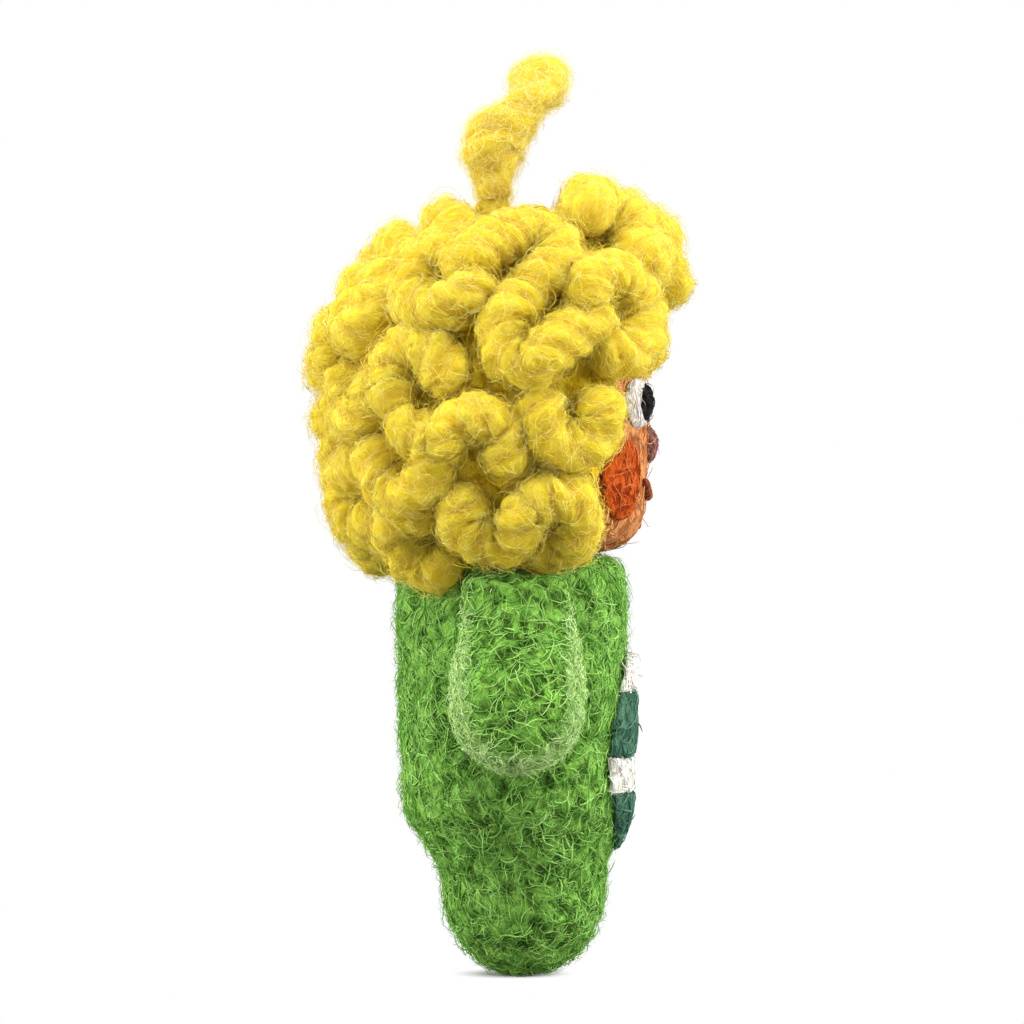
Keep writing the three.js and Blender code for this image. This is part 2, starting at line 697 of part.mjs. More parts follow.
// The felt cap: from the crown down to a hairline that falls from the forehead to behind the cheeks
function capRing(share, offset, place) {
  const ring = [];
  for (let i = 0; i < HEAD_SIDES; i += 1) {
    const turn = 180 - (360 * i) / HEAD_SIDES;
    const past = (Math.abs(turn) - HAIRLINE_START) / (HAIRLINE_END - HAIRLINE_START);
    const hairline = mix(HAIRLINE_FRONT, HAIRLINE_BACK, smooth(Math.min(1, Math.max(0, past))));
    const way = headWay(turn, mix(90, hairline, share));
    ring.push(place(way.multiplyScalar(bedReach), offset));
  }
  return ring;
}

const underCap = (from, offset) => headPoint(from.clone().normalize(), offset);
const capInside = [];
const capOutside = [];
for (let step = 1; step <= CAP_STEPS; step += 1) {
  capInside.push(capRing(step / CAP_STEPS, -CAP_THICKNESS, underCap));
  capOutside.unshift(capRing(step / CAP_STEPS, capOffset, hairPoint));
}
const zenith = new THREE.Vector3(0, 0, 1);
const capRings = [...capInside, ...capOutside];
const cap = solidOf(skin(capRings, underCap(zenith, -CAP_THICKNESS), hairPoint(zenith, capOffset)));
addPiece('hair_cap', geometryOf(largest(cap.subtract(headForm(CLEARANCE)).subtract(pocket))), 'yellow');

// Where the curls lie, and how far each may reach: half way to its nearest neighbour, then into what is left
function bedPlaces(list) {
  return list.flatMap((curl) => {
    const sides = curl.turn % 180 === 0 ? [{ name: '', sign: 1 }] : SIDES;
    return sides.map((side) => {
      const way = headWay(side.sign * curl.turn, curl.rise);
      const middle = hairPoint(way.clone().multiplyScalar(bedReach), bedOffset);
      const name = ['hair', side.name, curl.name].filter((word) => word).join('_');
      return { name, curl, side, way, middle, reach: 0 };
    });
  });
}

const places = bedPlaces(CURLS);
function roomOf(place, shareOf) {
  const others = places.filter((other) => other !== place);
  return Math.min(...others.map((other) => shareOf(place.middle.distanceTo(other.middle), other)));
}
places.forEach((place) => {
  place.reach = roomOf(place, (distance) => distance / 2);
});
places.forEach((place) => {
  place.reach = roomOf(place, (distance, other) => distance - other.reach);
});

// A curl in its own plane, from end to end: an open ring, a bight whose legs fill the room, or a hook, which
// is a bight with one longer leg
function curlOutline(shape, reach) {
  const ring = shape === 'ring';
  const opening = radians(ring ? RING_OPENING : 180);
  const radius = ring ? RING_RADIUS : (CURL_YARN + CURL_GAP) / 2;
  const leg = ring ? 0 : Math.max(0, 2 * reach - CURL_GAP - CURL_YARN - radius);
  const tail = shape === 'hook' ? leg + HOOK_TAIL : leg;
  const shift = ring ? 0 : (radius - leg) / 2;
  const outline = [];
  for (let step = 0; step <= CURL_STEPS; step += 1) {
    const angle = mix(opening / 2, 2 * Math.PI - opening / 2, step / CURL_STEPS);
    outline.push([shift + radius * Math.cos(angle), radius * Math.sin(angle)]);
  }
  if (leg > 0) {
    outline.unshift([shift + leg, radius], [shift + leg / 2, radius]);
  }
  if (tail > 0) {
    outline.push([shift + tail / 2, -radius], [shift + tail, -radius]);
  }
  return outline;
}

function curlPoints(place) {
  const { curl, side, way, middle } = place;
  const outline = curlOutline(curl.shape, place.reach);
  const out = curl.rise > 0 ? way : new THREE.Vector3(way.x, way.y, 0).normalize();
  const turn = radians(side.sign * curl.turn);
  const front = new THREE.Vector3(Math.cos(turn), -Math.sin(turn), 0).multiplyScalar(side.sign);
  const upward = out.clone().cross(front).multiplyScalar(side.sign);
  const opens = radians(curl.opens);
  return outline.map(([along, across], i) => {
    const from = middle.clone().sub(headCentre);
    from.addScaledVector(front, along * Math.cos(opens) - across * Math.sin(opens));
    from.addScaledVector(upward, along * Math.sin(opens) + across * Math.cos(opens));
    return hairPoint(from, bedOffset + curl.lift + (CURL_RISE * i) / (outline.length - 1));
  });
}

// Each curl gives way where the body or an earlier neighbour presses on it
let leastGap = gapToItself(loopPoints, loopRadii);
const pressed = [bodyForm(-CLEARANCE)];
places.forEach((place) => {
  const points = curlPoints(place);
  const radii = points.map(() => yarnRadius);
  const grownRadii = points.map(() => yarnRadius + CLEARANCE);
  const whole = solidOf(tube(points, radii, CURL_SIDES, true));
  const curl = pressed.reduce((solid, earlier) => solid.subtract(earlier), whole);
  pressed.push(solidOf(tube(points, grownRadii, CURL_SIDES, true)));
  leastGap = Math.min(leastGap, gapToItself(points, radii));
  addPiece(place.name, geometryOf(largest(curl)), 'yellow');
});
console.log(`least gap of a yarn to itself: ${leastGap.toFixed(2)} mm`);

part.position.copy(hookPoint).negate();

export default part;
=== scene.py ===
import math

import bpy
import numpy as np
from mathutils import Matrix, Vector
from mathutils.bvhtree import BVHTree


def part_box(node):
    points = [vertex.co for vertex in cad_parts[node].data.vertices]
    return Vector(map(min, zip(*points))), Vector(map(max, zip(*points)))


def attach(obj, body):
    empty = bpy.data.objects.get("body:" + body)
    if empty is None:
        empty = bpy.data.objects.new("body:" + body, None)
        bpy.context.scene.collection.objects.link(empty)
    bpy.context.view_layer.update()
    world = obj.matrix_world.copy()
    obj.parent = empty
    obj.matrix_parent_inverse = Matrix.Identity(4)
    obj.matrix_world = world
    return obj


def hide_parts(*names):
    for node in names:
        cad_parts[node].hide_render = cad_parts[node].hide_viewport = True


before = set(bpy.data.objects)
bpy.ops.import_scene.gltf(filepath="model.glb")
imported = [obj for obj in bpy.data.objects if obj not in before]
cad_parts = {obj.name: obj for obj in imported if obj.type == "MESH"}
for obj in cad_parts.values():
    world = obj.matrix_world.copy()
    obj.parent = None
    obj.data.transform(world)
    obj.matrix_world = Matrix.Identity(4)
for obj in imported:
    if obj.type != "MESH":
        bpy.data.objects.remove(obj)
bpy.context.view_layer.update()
mm = 0.001
bodyLow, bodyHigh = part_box("body")
dollBase = np.array([0.0, (bodyLow.y + bodyHigh.y) / 2, bodyLow.z])  # under the chest's middle, on the foot
fewer = 1.0
clearance = 0.3  # gap between neighbouring parts, in millimetres
print("frame loaded,", len(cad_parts), "nodes")


# maths in millimetres, from dollBase

cellFactors = (73856093, 19349663, 83492791)  # large numbers that mix a cell's place into one hash
seedFactor = 26544357
hashFactor = 1274126177
hashTop = 0xFFFF
pitWarpSize = 1.3  # lumps that bend a field of needle pits, in pit spacings


def smooth(share):
    share = np.clip(share, 0.0, 1.0)
    return share * share * (3 - 2 * share)


def ramp(value, low, high):
    return smooth((value - low) / (high - low))


def mix(low, high, share):
    return low + (high - low) * share


def unit(vectors):
    return vectors / np.maximum(np.linalg.norm(vectors, axis=-1, keepdims=True), 1e-12)


def domed(edge, lift, share):  # a height that falls from lift to edge as the share grows to 1
    return mix(edge, lift, np.clip(1 - share ** 2, 0, 1))


def bowed(wave, squareness):  # a sine or cosine pressed towards a square wave
    return np.sign(wave) * np.abs(wave) ** (2 / squareness)


def stacked(*parts):  # coordinates side by side, as points
    return np.stack(np.broadcast_arrays(*parts), axis=-1)


def ringAngles(sides):
    return np.linspace(0, 2 * math.pi, sides, endpoint=False)[None, :]


def scatter(cells, seed):  # a steady random number from 0 to 1 for each cell
    mixed = seed * seedFactor
    for axis, factor in enumerate(cellFactors):
        mixed = mixed ^ (cells[..., axis].astype(np.int64) * factor)
    mixed = ((mixed ^ (mixed >> 13)) * hashFactor) & 0xFFFFFFFF
    return ((mixed ^ (mixed >> 16)) & hashTop) / hashTop


def lumps(points, size, seed):  # smooth noise from -1 to 1, with lumps about this far apart
    scaled = points / size
    cell = np.floor(scaled)
    part = smooth(scaled - cell)
    total = np.zeros(points.shape[:-1])
    for corner in np.ndindex(2, 2, 2):
        weight = np.prod(np.where(np.array(corner) == 1, part, 1 - part), axis=-1)
        total += weight * scatter(cell + corner, seed)
    return 2 * total - 1


def heightOf(points, relief, seed):
    height, size = relief
    return height * lumps(points, size, seed)


def lumpVectors(points, size, seed):
    return stacked(*(lumps(points, size, seed + axis) for axis in range(3)))


def pitDistance(points, size, seed):  # how far the nearest needle pit is, in pit spacings
    scaled = points / size
    cell = np.floor(scaled)
    nearest = np.full(points.shape[:-1], np.inf)
    for corner in np.ndindex(3, 3, 3):
        around = cell + np.array(corner) - 1
        jitter = stacked(*(scatter(around, seed + axis) for axis in range(3)))
        nearest = np.minimum(nearest, np.linalg.norm(around + jitter - scaled, axis=-1))
    return nearest


def pitMask(points, felt, seed):  # 1 in the middle of a needle pit, 0 between pits
    spacing, reach, warp = felt["pits"][1:]
    bent = points + warp * lumpVectors(points, spacing * pitWarpSize, seed + 20)
    return smooth(1 - pitDistance(bent, spacing, seed) / reach)


# meshes

def addObject(name, data):
    thing = bpy.data.objects.new(name, data)
    bpy.context.scene.collection.objects.link(thing)
    return thing


def addPiece(name, points, faces):
    mesh = bpy.data.meshes.new(name)
    mesh.from_pydata((points * mm + dollBase).tolist(), [], faces)
    mesh.polygons.foreach_set("use_smooth", np.ones(len(mesh.polygons), bool))
    return addObject(name, mesh)


def ringFaces(levels, sides):
    level = np.arange(levels - 1)[:, None] * sides
    side = np.arange(sides)
    here, after = level + side, level + (side + 1) % sides
    return stacked(here, after, after + sides, here + sides).reshape(-1, 4)


def closedPiece(name, rings):  # rings that climb, with a fan to a pole at each end
    levels, sides = rings.shape[:2]
    points = np.concatenate([rings.reshape(-1, 3), [rings[0].mean(axis=0), rings[-1].mean(axis=0)]])
    faces = ringFaces(levels, sides).tolist()
    side = np.arange(sides)
    after = (side + 1) % sides
    top = (levels - 1) * sides
    pole = np.full(sides, levels * sides)
    faces += stacked(pole, after, side).tolist() + stacked(pole + 1, top + side, top + after).tolist()
    return addPiece(name, points, faces)


def keepValues(piece, name, rings, poles):  # a number or a vector for each point of a closed piece
    width = rings.shape[2:]
    values = np.concatenate([rings.reshape(-1, *width), poles])
    layer = piece.data.attributes.new(name, "FLOAT_VECTOR" if width else "FLOAT", "POINT")
    layer.data.foreach_set("vector" if width else "value", values.astype(np.float32).ravel())


def finishPiece(piece, body, material, slot, nodes=(), fill=None):
    piece.data.materials.append(material)
    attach(piece, body)
    if nodes:
        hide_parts(*nodes)


# a closed felt form over rings that climb; felt has the height and size of lumps and grain,
# the depth, spacing, reach and warp of needle pits, and how far the surface is let in
# rim, where given, is how much of each point gets a painted rim highlight in the material
def feltForm(name, rings, felt, seed, rim=None):
    middle = rings.mean(axis=(0, 1))
    around = np.roll(rings, -1, axis=1) - np.roll(rings, 1, axis=1)
    normals = unit(np.cross(around, np.gradient(rings, axis=0)))
    if np.sum(normals * (rings - middle)) < 0:
        rings = rings[:, ::-1]
        normals = -normals[:, ::-1]
        rim = None if rim is None else rim[:, ::-1]
    pit = pitMask(rings, felt, seed)
    relief = heightOf(rings, felt["lumps"], seed + 5)
    relief += heightOf(rings, felt["grain"], seed + 6)
    relief -= felt["pits"][0] * pit + felt["inset"]
    piece = closedPiece(name, rings + normals * relief[..., None])
    # the pit share goes to the material, which also darkens pits in colour as painted shade
    keepValues(piece, "pit", pit, (0.0, 0.0))
    if rim is not None:
        keepValues(piece, "rim", rim, (0.0, 0.0))
    return piece


# wool fibres: lengths and widths are ranges, looseShare of them lift off at one end,
# and align draws them towards the way that the piece's rings climb, turned by lay
webFibre = {"steps": 6, "length": (2.0, 5.5), "bend": 1.6, "wander": 0.3, "arch": (0.0, 0.35),
            "looseShare": 0.1, "lift": (0.3, 1.0), "sunk": 0.06, "tip": 0.35, "width": (0.1, 0.24),
            "align": 0.0, "lay": 0.0}
fineFibre = {**webFibre, "length": (1.8, 5.0), "wander": 0.35, "arch": (0.05, 0.4), "looseShare": 0.6,
             "lift": (0.3, 1.3), "sunk": 0.05, "width": (0.07, 0.15)}
mistFibre = {**webFibre, "steps": 4, "length": (1.5, 4.0), "bend": 1.8, "wander": 0.4, "arch": (0.05, 0.5),
             "looseShare": 0.8, "lift": (0.3, 1.5), "sunk": 0.03, "tip": 0.5, "width": (0.03, 0.06)}
fewestFibres = 8
fibreSides = 3
liftPower = 1.7  # how late along its length a loose fibre lifts off


# the faces of some pieces as arrays, and a tree that finds the nearest spot on them
def surfaceOf(*pieces):
    points, polygons, grains = [], [], []
    facts = {"center": [], "normal": [], "area": []}
    for piece in pieces:
        mesh = piece.data
        offset = len(points)
        points += [tuple(vertex.co) for vertex in mesh.vertices]
        polygons += [[offset + corner for corner in polygon.vertices] for polygon in mesh.polygons]
        ends = np.array([(polygon.vertices[-1], polygon.vertices[0]) for polygon in mesh.polygons])
        places = np.array(points[offset:])
        grains.append(places[ends[:, 0]] - places[ends[:, 1]])  # the way that the rings climb
        for key, kept in facts.items():
            width = 1 if key == "area" else 3
            values = np.zeros(len(mesh.polygons) * width)
            mesh.polygons.foreach_get(key, values)
            kept.append(values.reshape(-1, width))
    centres, normals, areas = (np.concatenate(kept) for kept in facts.values())
    return BVHTree.FromPolygons(points, polygons), centres, normals, areas[:, 0], np.concatenate(grains)


# finish is a body, a material and a slot; keep weighs where fibres lie
def layFibres(name, surface, count, fibre, finish, seed, keep=None):
    rng = np.random.default_rng(seed)
    count = max(fewestFibres, int(count * fewer))
    tree, centres, normals, weight, grains = surface
    if keep is not None:
        weight = weight * keep((centres - dollBase) / mm, normals)
    pick = rng.choice(len(weight), count, p=weight / weight.sum())

    steps = fibre["steps"]
    at, up = centres[pick], normals[pick]
    heading = unit(np.cross(up, rng.normal(size=(count, 3))))
    grain = unit(grains[pick])
    grain = unit(grain + fibre["lay"] * np.cross(up, grain)) * rng.choice((-1, 1), (count, 1))
    heading = unit(mix(heading, grain, fibre["align"]))
    stride = rng.uniform(*fibre["length"], count) * mm / (steps - 1)
    bend = rng.normal(0, fibre["bend"], count)
    path = np.zeros((count, steps, 3))
    over = np.zeros((count, steps, 3))
    for step in range(steps):
        for i in range(count):
            at[i], up[i], face, distance = tree.find_nearest(at[i])
        path[:, step] = at
        over[:, step] = up
        side = unit(np.cross(up, heading))
        turn = bend / steps + rng.normal(0, fibre["wander"], count)
        heading = unit(np.cross(side, up) + side * turn[:, None])
        at = at + heading * stride[:, None]

    along = np.linspace(0, 1, steps)[None, :]
    arch = rng.uniform(*fibre["arch"], (count, 1)) * 4 * along * (1 - along)
    free = (rng.random((count, 1)) < fibre["looseShare"]) * rng.uniform(*fibre["lift"], (count, 1))
    height = arch + free * along ** liftPower - fibre["sunk"]
    path = path + over * height[..., None] * mm
    slope = unit(np.gradient(path, axis=1))
    side = unit(np.cross(over, slope))
    above = np.cross(slope, side)
    taper = np.clip(np.sqrt(4 * along * (1 - along)), fibre["tip"], 1)
    radius = rng.uniform(*fibre["width"], (count, 1)) / 2 * taper * mm
    rings = []
    for corner in range(fibreSides):
        angle = 2 * math.pi * corner / fibreSides
        rings.append(path + radius[..., None] * (math.cos(angle) * side + math.sin(angle) * above))
    rings = np.stack(rings, axis=2)
    first = np.arange(count)[:, None, None] * steps * fibreSides
    faces = (first + ringFaces(steps, fibreSides)).reshape(-1, 4).tolist()
    start = first[:, 0] + np.arange(fibreSides)
    end = start + (steps - 1) * fibreSides
    faces += start[:, ::-1].tolist() + end.tolist()
    finishPiece(addPiece(name, (rings.reshape(-1, 3) - dollBase) / mm, faces), *finish)


# plied yarn: slubs, grain and wobble each have a height and a size
curlYarn = {"step": 0.34, "sides": 40, "plies": 3, "pitch": 10.0, "groove": 0.16, "slubs": (0.45, 3.2),
            "grain": (0.4, 0.9), "wobble": (0.7, 5.0), "uneven": 0.5}
yarnTip = 0.01  # share of the radius left at the ends
plyPower = 0.6  # under 1, so that plies are broad and the grooves between them narrow
unevenSize = 1.6  # lumps in the twist, in slub sizes
sideHint = (0.3, 0.5, 0.8)


# a length of plied yarn along a path, with round ends; radii is one number, or runs along the path
def yarnForm(name, path, radii, yarn, seed):
    radii = np.broadcast_to(radii, len(path))
    startRadius, endRadius = radii[0], radii[-1]
    start = path[0] + unit(path[0] - path[1]) * startRadius
    end = path[-1] + unit(path[-1] - path[-2]) * endRadius
    lengths = np.concatenate([[0], np.cumsum(np.linalg.norm(np.diff(path, axis=0), axis=1))])
    lengths = np.concatenate([[-startRadius], lengths, [lengths[-1] + endRadius]])
    path = np.concatenate([[start], path, [end]])
    radii = np.concatenate([[startRadius], radii, [endRadius]])
    along = np.linspace(lengths[0], lengths[-1], int((lengths[-1] - lengths[0]) / yarn["step"]) + 2)
    centre = stacked(*(np.interp(along, lengths, path[:, axis]) for axis in range(3)))
    wobble, wobbleSize = yarn["wobble"]
    centre = centre + wobble * lumpVectors(centre, wobbleSize, seed + 2)
    fromStart = np.clip((along - lengths[0]) / startRadius, yarnTip, 1)
    fromEnd = np.clip((lengths[-1] - along) / endRadius, yarnTip, 1)
    radius = np.interp(along, lengths, radii)
    radius = radius * np.sqrt(1 - (1 - fromStart) ** 2) * np.sqrt(1 - (1 - fromEnd) ** 2)

    ways = unit(np.gradient(centre, axis=0))
    side = np.cross(ways[0], sideHint)
    sides = []
    for way in ways:
        side = unit(side - way * np.dot(side, way))
        sides.append(side)
    sides = np.array(sides)
    others = np.cross(ways, sides)
    angle = ringAngles(yarn["sides"])
    uneven = lumps(centre, yarn["slubs"][1] * unevenSize, seed + 7)[:, None]
    twist = angle - 2 * math.pi * along[:, None] / yarn["pitch"] + yarn["uneven"] * uneven
    ply = (0.5 + 0.5 * np.cos(twist * yarn["plies"])) ** plyPower
    reach = radius[:, None] * (1 - yarn["groove"] * (1 - ply))
    out = np.cos(angle)[..., None] * sides[:, None] + np.sin(angle)[..., None] * others[:, None]
    rings = centre[:, None] + out * reach[..., None]
    ragged = heightOf(rings, yarn["slubs"], seed) + heightOf(rings, yarn["grain"], seed + 1)
    full = radius.max()
    piece = closedPiece(name, rings + out * (ragged * np.minimum(1, radius[:, None] / full))[..., None])
    strand = stacked(full * np.cos(twist), full * np.sin(twist), along[:, None])
    keepValues(piece, "strand", strand, (strand[0, 0], strand[-1, 0]))
    keepValues(piece, "ply", ply, (1.0, 1.0))
    return piece


# shader nodes

def plug(tree, socket, value):  # another node's output is linked; anything else is a constant
    if isinstance(value, bpy.types.NodeSocket):
        tree.links.new(value, socket)
    else:
        socket.default_value = value


def addNode(tree, kind, sockets=(), **settings):  # gives the node's outputs
    node = tree.nodes.new("ShaderNode" + kind)
    for key, value in settings.items():
        setattr(node, key, value)
    for key, value in dict(sockets).items():
        plug(tree, node.inputs[key], value)
    return node.outputs


def maths(tree, operation, *values):
    return addNode(tree, "Math", enumerate(values), operation=operation)[0]


def times(tree, *values):
    return maths(tree, "MULTIPLY", *values)


def lessBy(tree, start, value, share):  # start, less a share of the value
    return maths(tree, "SUBTRACT", start, times(tree, value, share))


def softStep(tree, value, start, end, top=1.0):
    sockets = {"Value": value, "From Min": start, "From Max": end, "To Min": 0.0, "To Max": top}
    return addNode(tree, "MapRange", sockets, interpolation_type="SMOOTHSTEP")["Result"]


def mixColours(tree, share, first, second):
    sockets = {0: share, 6: first, 7: second}  # the colour sockets of a node that mixes other kinds too
    return addNode(tree, "Mix", sockets, data_type="RGBA")[2]


def addNoise(tree, vector, scale, detail, roughness=0.5):
    sockets = {"Vector": vector, "Scale": scale, "Detail": detail, "Roughness": roughness}
    return addNode(tree, "TexNoise", sockets)


def bentBy(tree, vector, scale, reach, detail):
    warp = addNoise(tree, vector, scale, detail)["Color"]
    sockets = {0: warp, 1: (reach, reach, reach), 2: vector}
    return addNode(tree, "VectorMath", sockets, operation="MULTIPLY_ADD")[0]


# thin bright lines where stretched noise crosses its middle: fibres lying along one direction
def fibreLines(tree, vector, turn, stretch, sharpness):
    turned = addNode(tree, "Mapping", {"Vector": vector, "Rotation": turn, "Scale": stretch})[0]
    level = addNoise(tree, turned, 1.0, detail=1.5, roughness=0.45)["Fac"]
    away = maths(tree, "ABSOLUTE", maths(tree, "SUBTRACT", level, 0.5))
    return maths(tree, "MAXIMUM", lessBy(tree, 1.0, away, sharpness), 0.0)


def newGroup(name, inputs):  # each input's kind; every group gives a colour and a height
    tree = bpy.data.node_groups.new(name, "ShaderNodeTree")
    for title, kind in inputs.items():
        tree.interface.new_socket(title, in_out="INPUT", socket_type="NodeSocket" + kind)
    for title, kind in (("Color", "Color"), ("Height", "Float")):
        tree.interface.new_socket(title, in_out="OUTPUT", socket_type="NodeSocket" + kind)
    return tree, tree.nodes.new("NodeGroupInput").outputs, tree.nodes.new("NodeGroupOutput").inputs


# materials: noise scales are per millimetre, edges and covers are shares

# the rim cover and rim pit loss set the arm's painted rim highlight: how far its pale colour covers the felt,
# and how much painted pit shade it takes away
feltLook = {"warp": 0.35, "warpReach": 3.4, "stretch": (1.3, 1.3, 0.2), "sharpness": 7.0, "lineCover": 0.85,
            "linePitLoss": 0.65, "hole": 0.5, "holeEdges": (0.54, 0.36), "patch": 0.16, "patchFloor": 0.25,
            "patchGain": 1.5, "rimLightCover": 0.85, "rimLightPitLoss": 0.7, "grain": 2.2, "grainHeight": 0.6,
            "turns": ((0.3, 0.2, 0.0), (1.4, 0.3, 0.6), (0.4, 1.3, 1.2), (0.9, -0.8, 2.1))}
yarnLook = {"warp": 0.6, "warpReach": 2.2, "along": ((0.2, 0.1, 0.0), (1.3, 1.3, 0.5), 4.0),
            "cross": ((0.9, 0.4, 0.8), (1.4, 1.4, 0.5), 6.0), "plyPower": 1.4, "patch": 0.55,
            "patchCover": 0.8, "grain": 1.3, "clump": (0.55, 0.36, 0.4), "lineHeight": 0.5,
            "grainHeight": 2.0}
woolShader = {"Roughness": 0.95, "Specular IOR Level": 0.06, "Sheen Roughness": 0.5,
              "Subsurface Radius": (1.0, 0.75, 0.15), "Subsurface Scale": 3.0 * mm}
woolSheen = {"felt": 0.15, "yarn": 0.2, "fibre": 0.3}
yarnGlow = 0.5  # light that soaks through loose wool
bumpDepth = {"felt": 0.35, "yarn": 0.4}
bumpStrength = 0.8


def feltWebGroup():
    look = feltLook
    inputs = {"Deep": "Color", "Middle": "Color", "Light": "Color", "RimLight": "Color",
              "Fineness": "Float", "Pit": "Float", "Rim": "Float"}
    tree, given, result = newGroup("feltWeb", inputs)
    place = addNode(tree, "TexCoord")["Object"]
    perMetre = times(tree, given["Fineness"], 1 / mm)
    scaled = addNode(tree, "VectorMath", {0: place, "Scale": perMetre}, operation="SCALE")[0]
    bent = bentBy(tree, scaled, look["warp"], look["warpReach"], detail=1.5)
    web = None
    for turn in look["turns"]:
        lines = fibreLines(tree, bent, turn, look["stretch"], look["sharpness"])
        web = lines if web is None else maths(tree, "MAXIMUM", web, lines)
    hole = addNoise(tree, bent, look["hole"], detail=1.0, roughness=0.6)["Fac"]
    dark = softStep(tree, hole, *look["holeEdges"])
    patch = addNoise(tree, scaled, look["patch"], detail=2.0)["Fac"]
    tone = times(tree, maths(tree, "SUBTRACT", patch, look["patchFloor"]), look["patchGain"])
    # painted shade: needle pits and the noise holes between fibres are darkened towards the deep colour, less
    # so under the arm's painted rim highlight
    sunk = maths(tree, "MAXIMUM", given["Pit"], dark)
    sunk = times(tree, sunk, lessBy(tree, 1.0, given["Rim"], look["rimLightPitLoss"]))
    shade = mixColours(tree, tone, given["Deep"], given["Middle"])
    shade = mixColours(tree, sunk, shade, given["Deep"])
    over = times(tree, web, lessBy(tree, look["lineCover"], sunk, look["linePitLoss"]))
    lit = mixColours(tree, over, shade, given["Light"])
    # painted rim highlight: the arm's edge is mixed towards the pale rim colour
    rim = times(tree, given["Rim"], look["rimLightCover"])
    plug(tree, result["Color"], mixColours(tree, rim, lit, given["RimLight"]))
    grain = times(tree, addNoise(tree, bent, look["grain"], detail=3.0)["Fac"], look["grainHeight"])
    plug(tree, result["Height"], maths(tree, "SUBTRACT", maths(tree, "ADD", web, grain), sunk))
    return tree


def yarnStrandGroup():
    look = yarnLook
    inputs = {"Strand": "Vector", "Ply": "Float", "Deep": "Color", "Middle": "Color", "Light": "Color"}
    tree, given, result = newGroup("yarnStrand", inputs)
    bent = bentBy(tree, given["Strand"], look["warp"], look["warpReach"], detail=2.0)
    along, cross = (fibreLines(tree, bent, *look[key]) for key in ("along", "cross"))
    web = maths(tree, "MAXIMUM", along, cross)
    patch = addNoise(tree, given["Strand"], look["patch"], detail=2.0)["Fac"]
    grain = addNoise(tree, bent, look["grain"], detail=4.0, roughness=0.7)["Fac"]
    # painted shade: the grooves between the plies are mixed towards the deep colour; the darker clumps after
    # that are random tone
    raised = maths(tree, "POWER", given["Ply"], look["plyPower"])
    shade = mixColours(tree, raised, given["Deep"], given["Middle"])
    shade = mixColours(tree, softStep(tree, grain, *look["clump"]), shade, given["Deep"])
    share = times(tree, web, times(tree, patch, look["patchCover"]))
    plug(tree, result["Color"], mixColours(tree, share, shade, given["Light"]))
    lines = times(tree, web, look["lineHeight"])
    grain = times(tree, grain, look["grainHeight"])
    plug(tree, result["Height"], maths(tree, "ADD", lines, grain))
    return tree


feltWeb = feltWebGroup()
yarnStrand = yarnStrandGroup()


def colour(display):  # display values from 0 to 255, as linear light
    shares = np.array(display) / 255
    light = np.where(shares < 0.04045, shares / 12.92, ((shares + 0.055) / 1.055) ** 2.4)
    return (*light.tolist(), 1.0)


def newMaterial(name, kind, light, glow=0.0):
    material = bpy.data.materials.new(name)
    material.use_nodes = True
    shader = material.node_tree.nodes["Principled BSDF"]
    own = {"Sheen Weight": woolSheen[kind], "Sheen Tint": colour(light), "Subsurface Weight": glow}
    for socket, value in {**woolShader, **own}.items():
        shader.inputs[socket].default_value = value
    return material, material.node_tree, shader


# a material whose colour and bump come from a group, with some of its inputs from values kept in the mesh
def groupMaterial(name, kind, group, colours, sockets, kept, glow=0.0):
    material, tree, shader = newMaterial(name, kind, colours["Light"], glow)
    sockets = {**sockets, **{title: colour(display) for title, display in colours.items()}}
    for title, output in kept.items():
        sockets[title] = addNode(tree, "Attribute", attribute_name=title.lower())[output]
    look = addNode(tree, "Group", sockets, node_tree=group)
    plug(tree, shader.inputs["Base Color"], look["Color"])
    bump = {"Distance": bumpDepth[kind] * mm, "Strength": bumpStrength, "Height": look["Height"]}
    plug(tree, shader.inputs["Normal"], addNode(tree, "Bump", bump)[0])
    return material


def feltMaterial(name, deep, middle, light, fineness=1.0, edge=None):
    # edge is the pale colour of a painted rim highlight; without it the rim colour is the light one
    colours = {"Deep": deep, "Middle": middle, "Light": light, "RimLight": edge or light}
    return groupMaterial(name, "felt", feltWeb, colours, {"Fineness": fineness}, {"Pit": "Fac", "Rim": "Fac"})


def yarnMaterial(name, deep, middle, light):
    colours = {"Deep": deep, "Middle": middle, "Light": light}
    return groupMaterial(name, "yarn", yarnStrand, colours, {}, {"Strand": "Vector", "Ply": "Fac"}, yarnGlow)


def fibreMaterial(name, dark, light):
    material, tree, shader = newMaterial(name, "fibre", light)
    chance = addNode(tree, "NewGeometry")["Random Per Island"]
    plug(tree, shader.inputs["Base Color"], mixColours(tree, chance, colour(dark), colour(light)))
    return material


# each felt's deep colour is the painted shade of its pits and of the holes between fibres, and also the dark
# end of its random tone; each yarn's deep colour is the painted shade of its ply grooves, and also its random
# darker clumps
bodyFelt = feltMaterial("leaf green felt", (3, 34, 1), (56, 122, 18), (150, 206, 90))
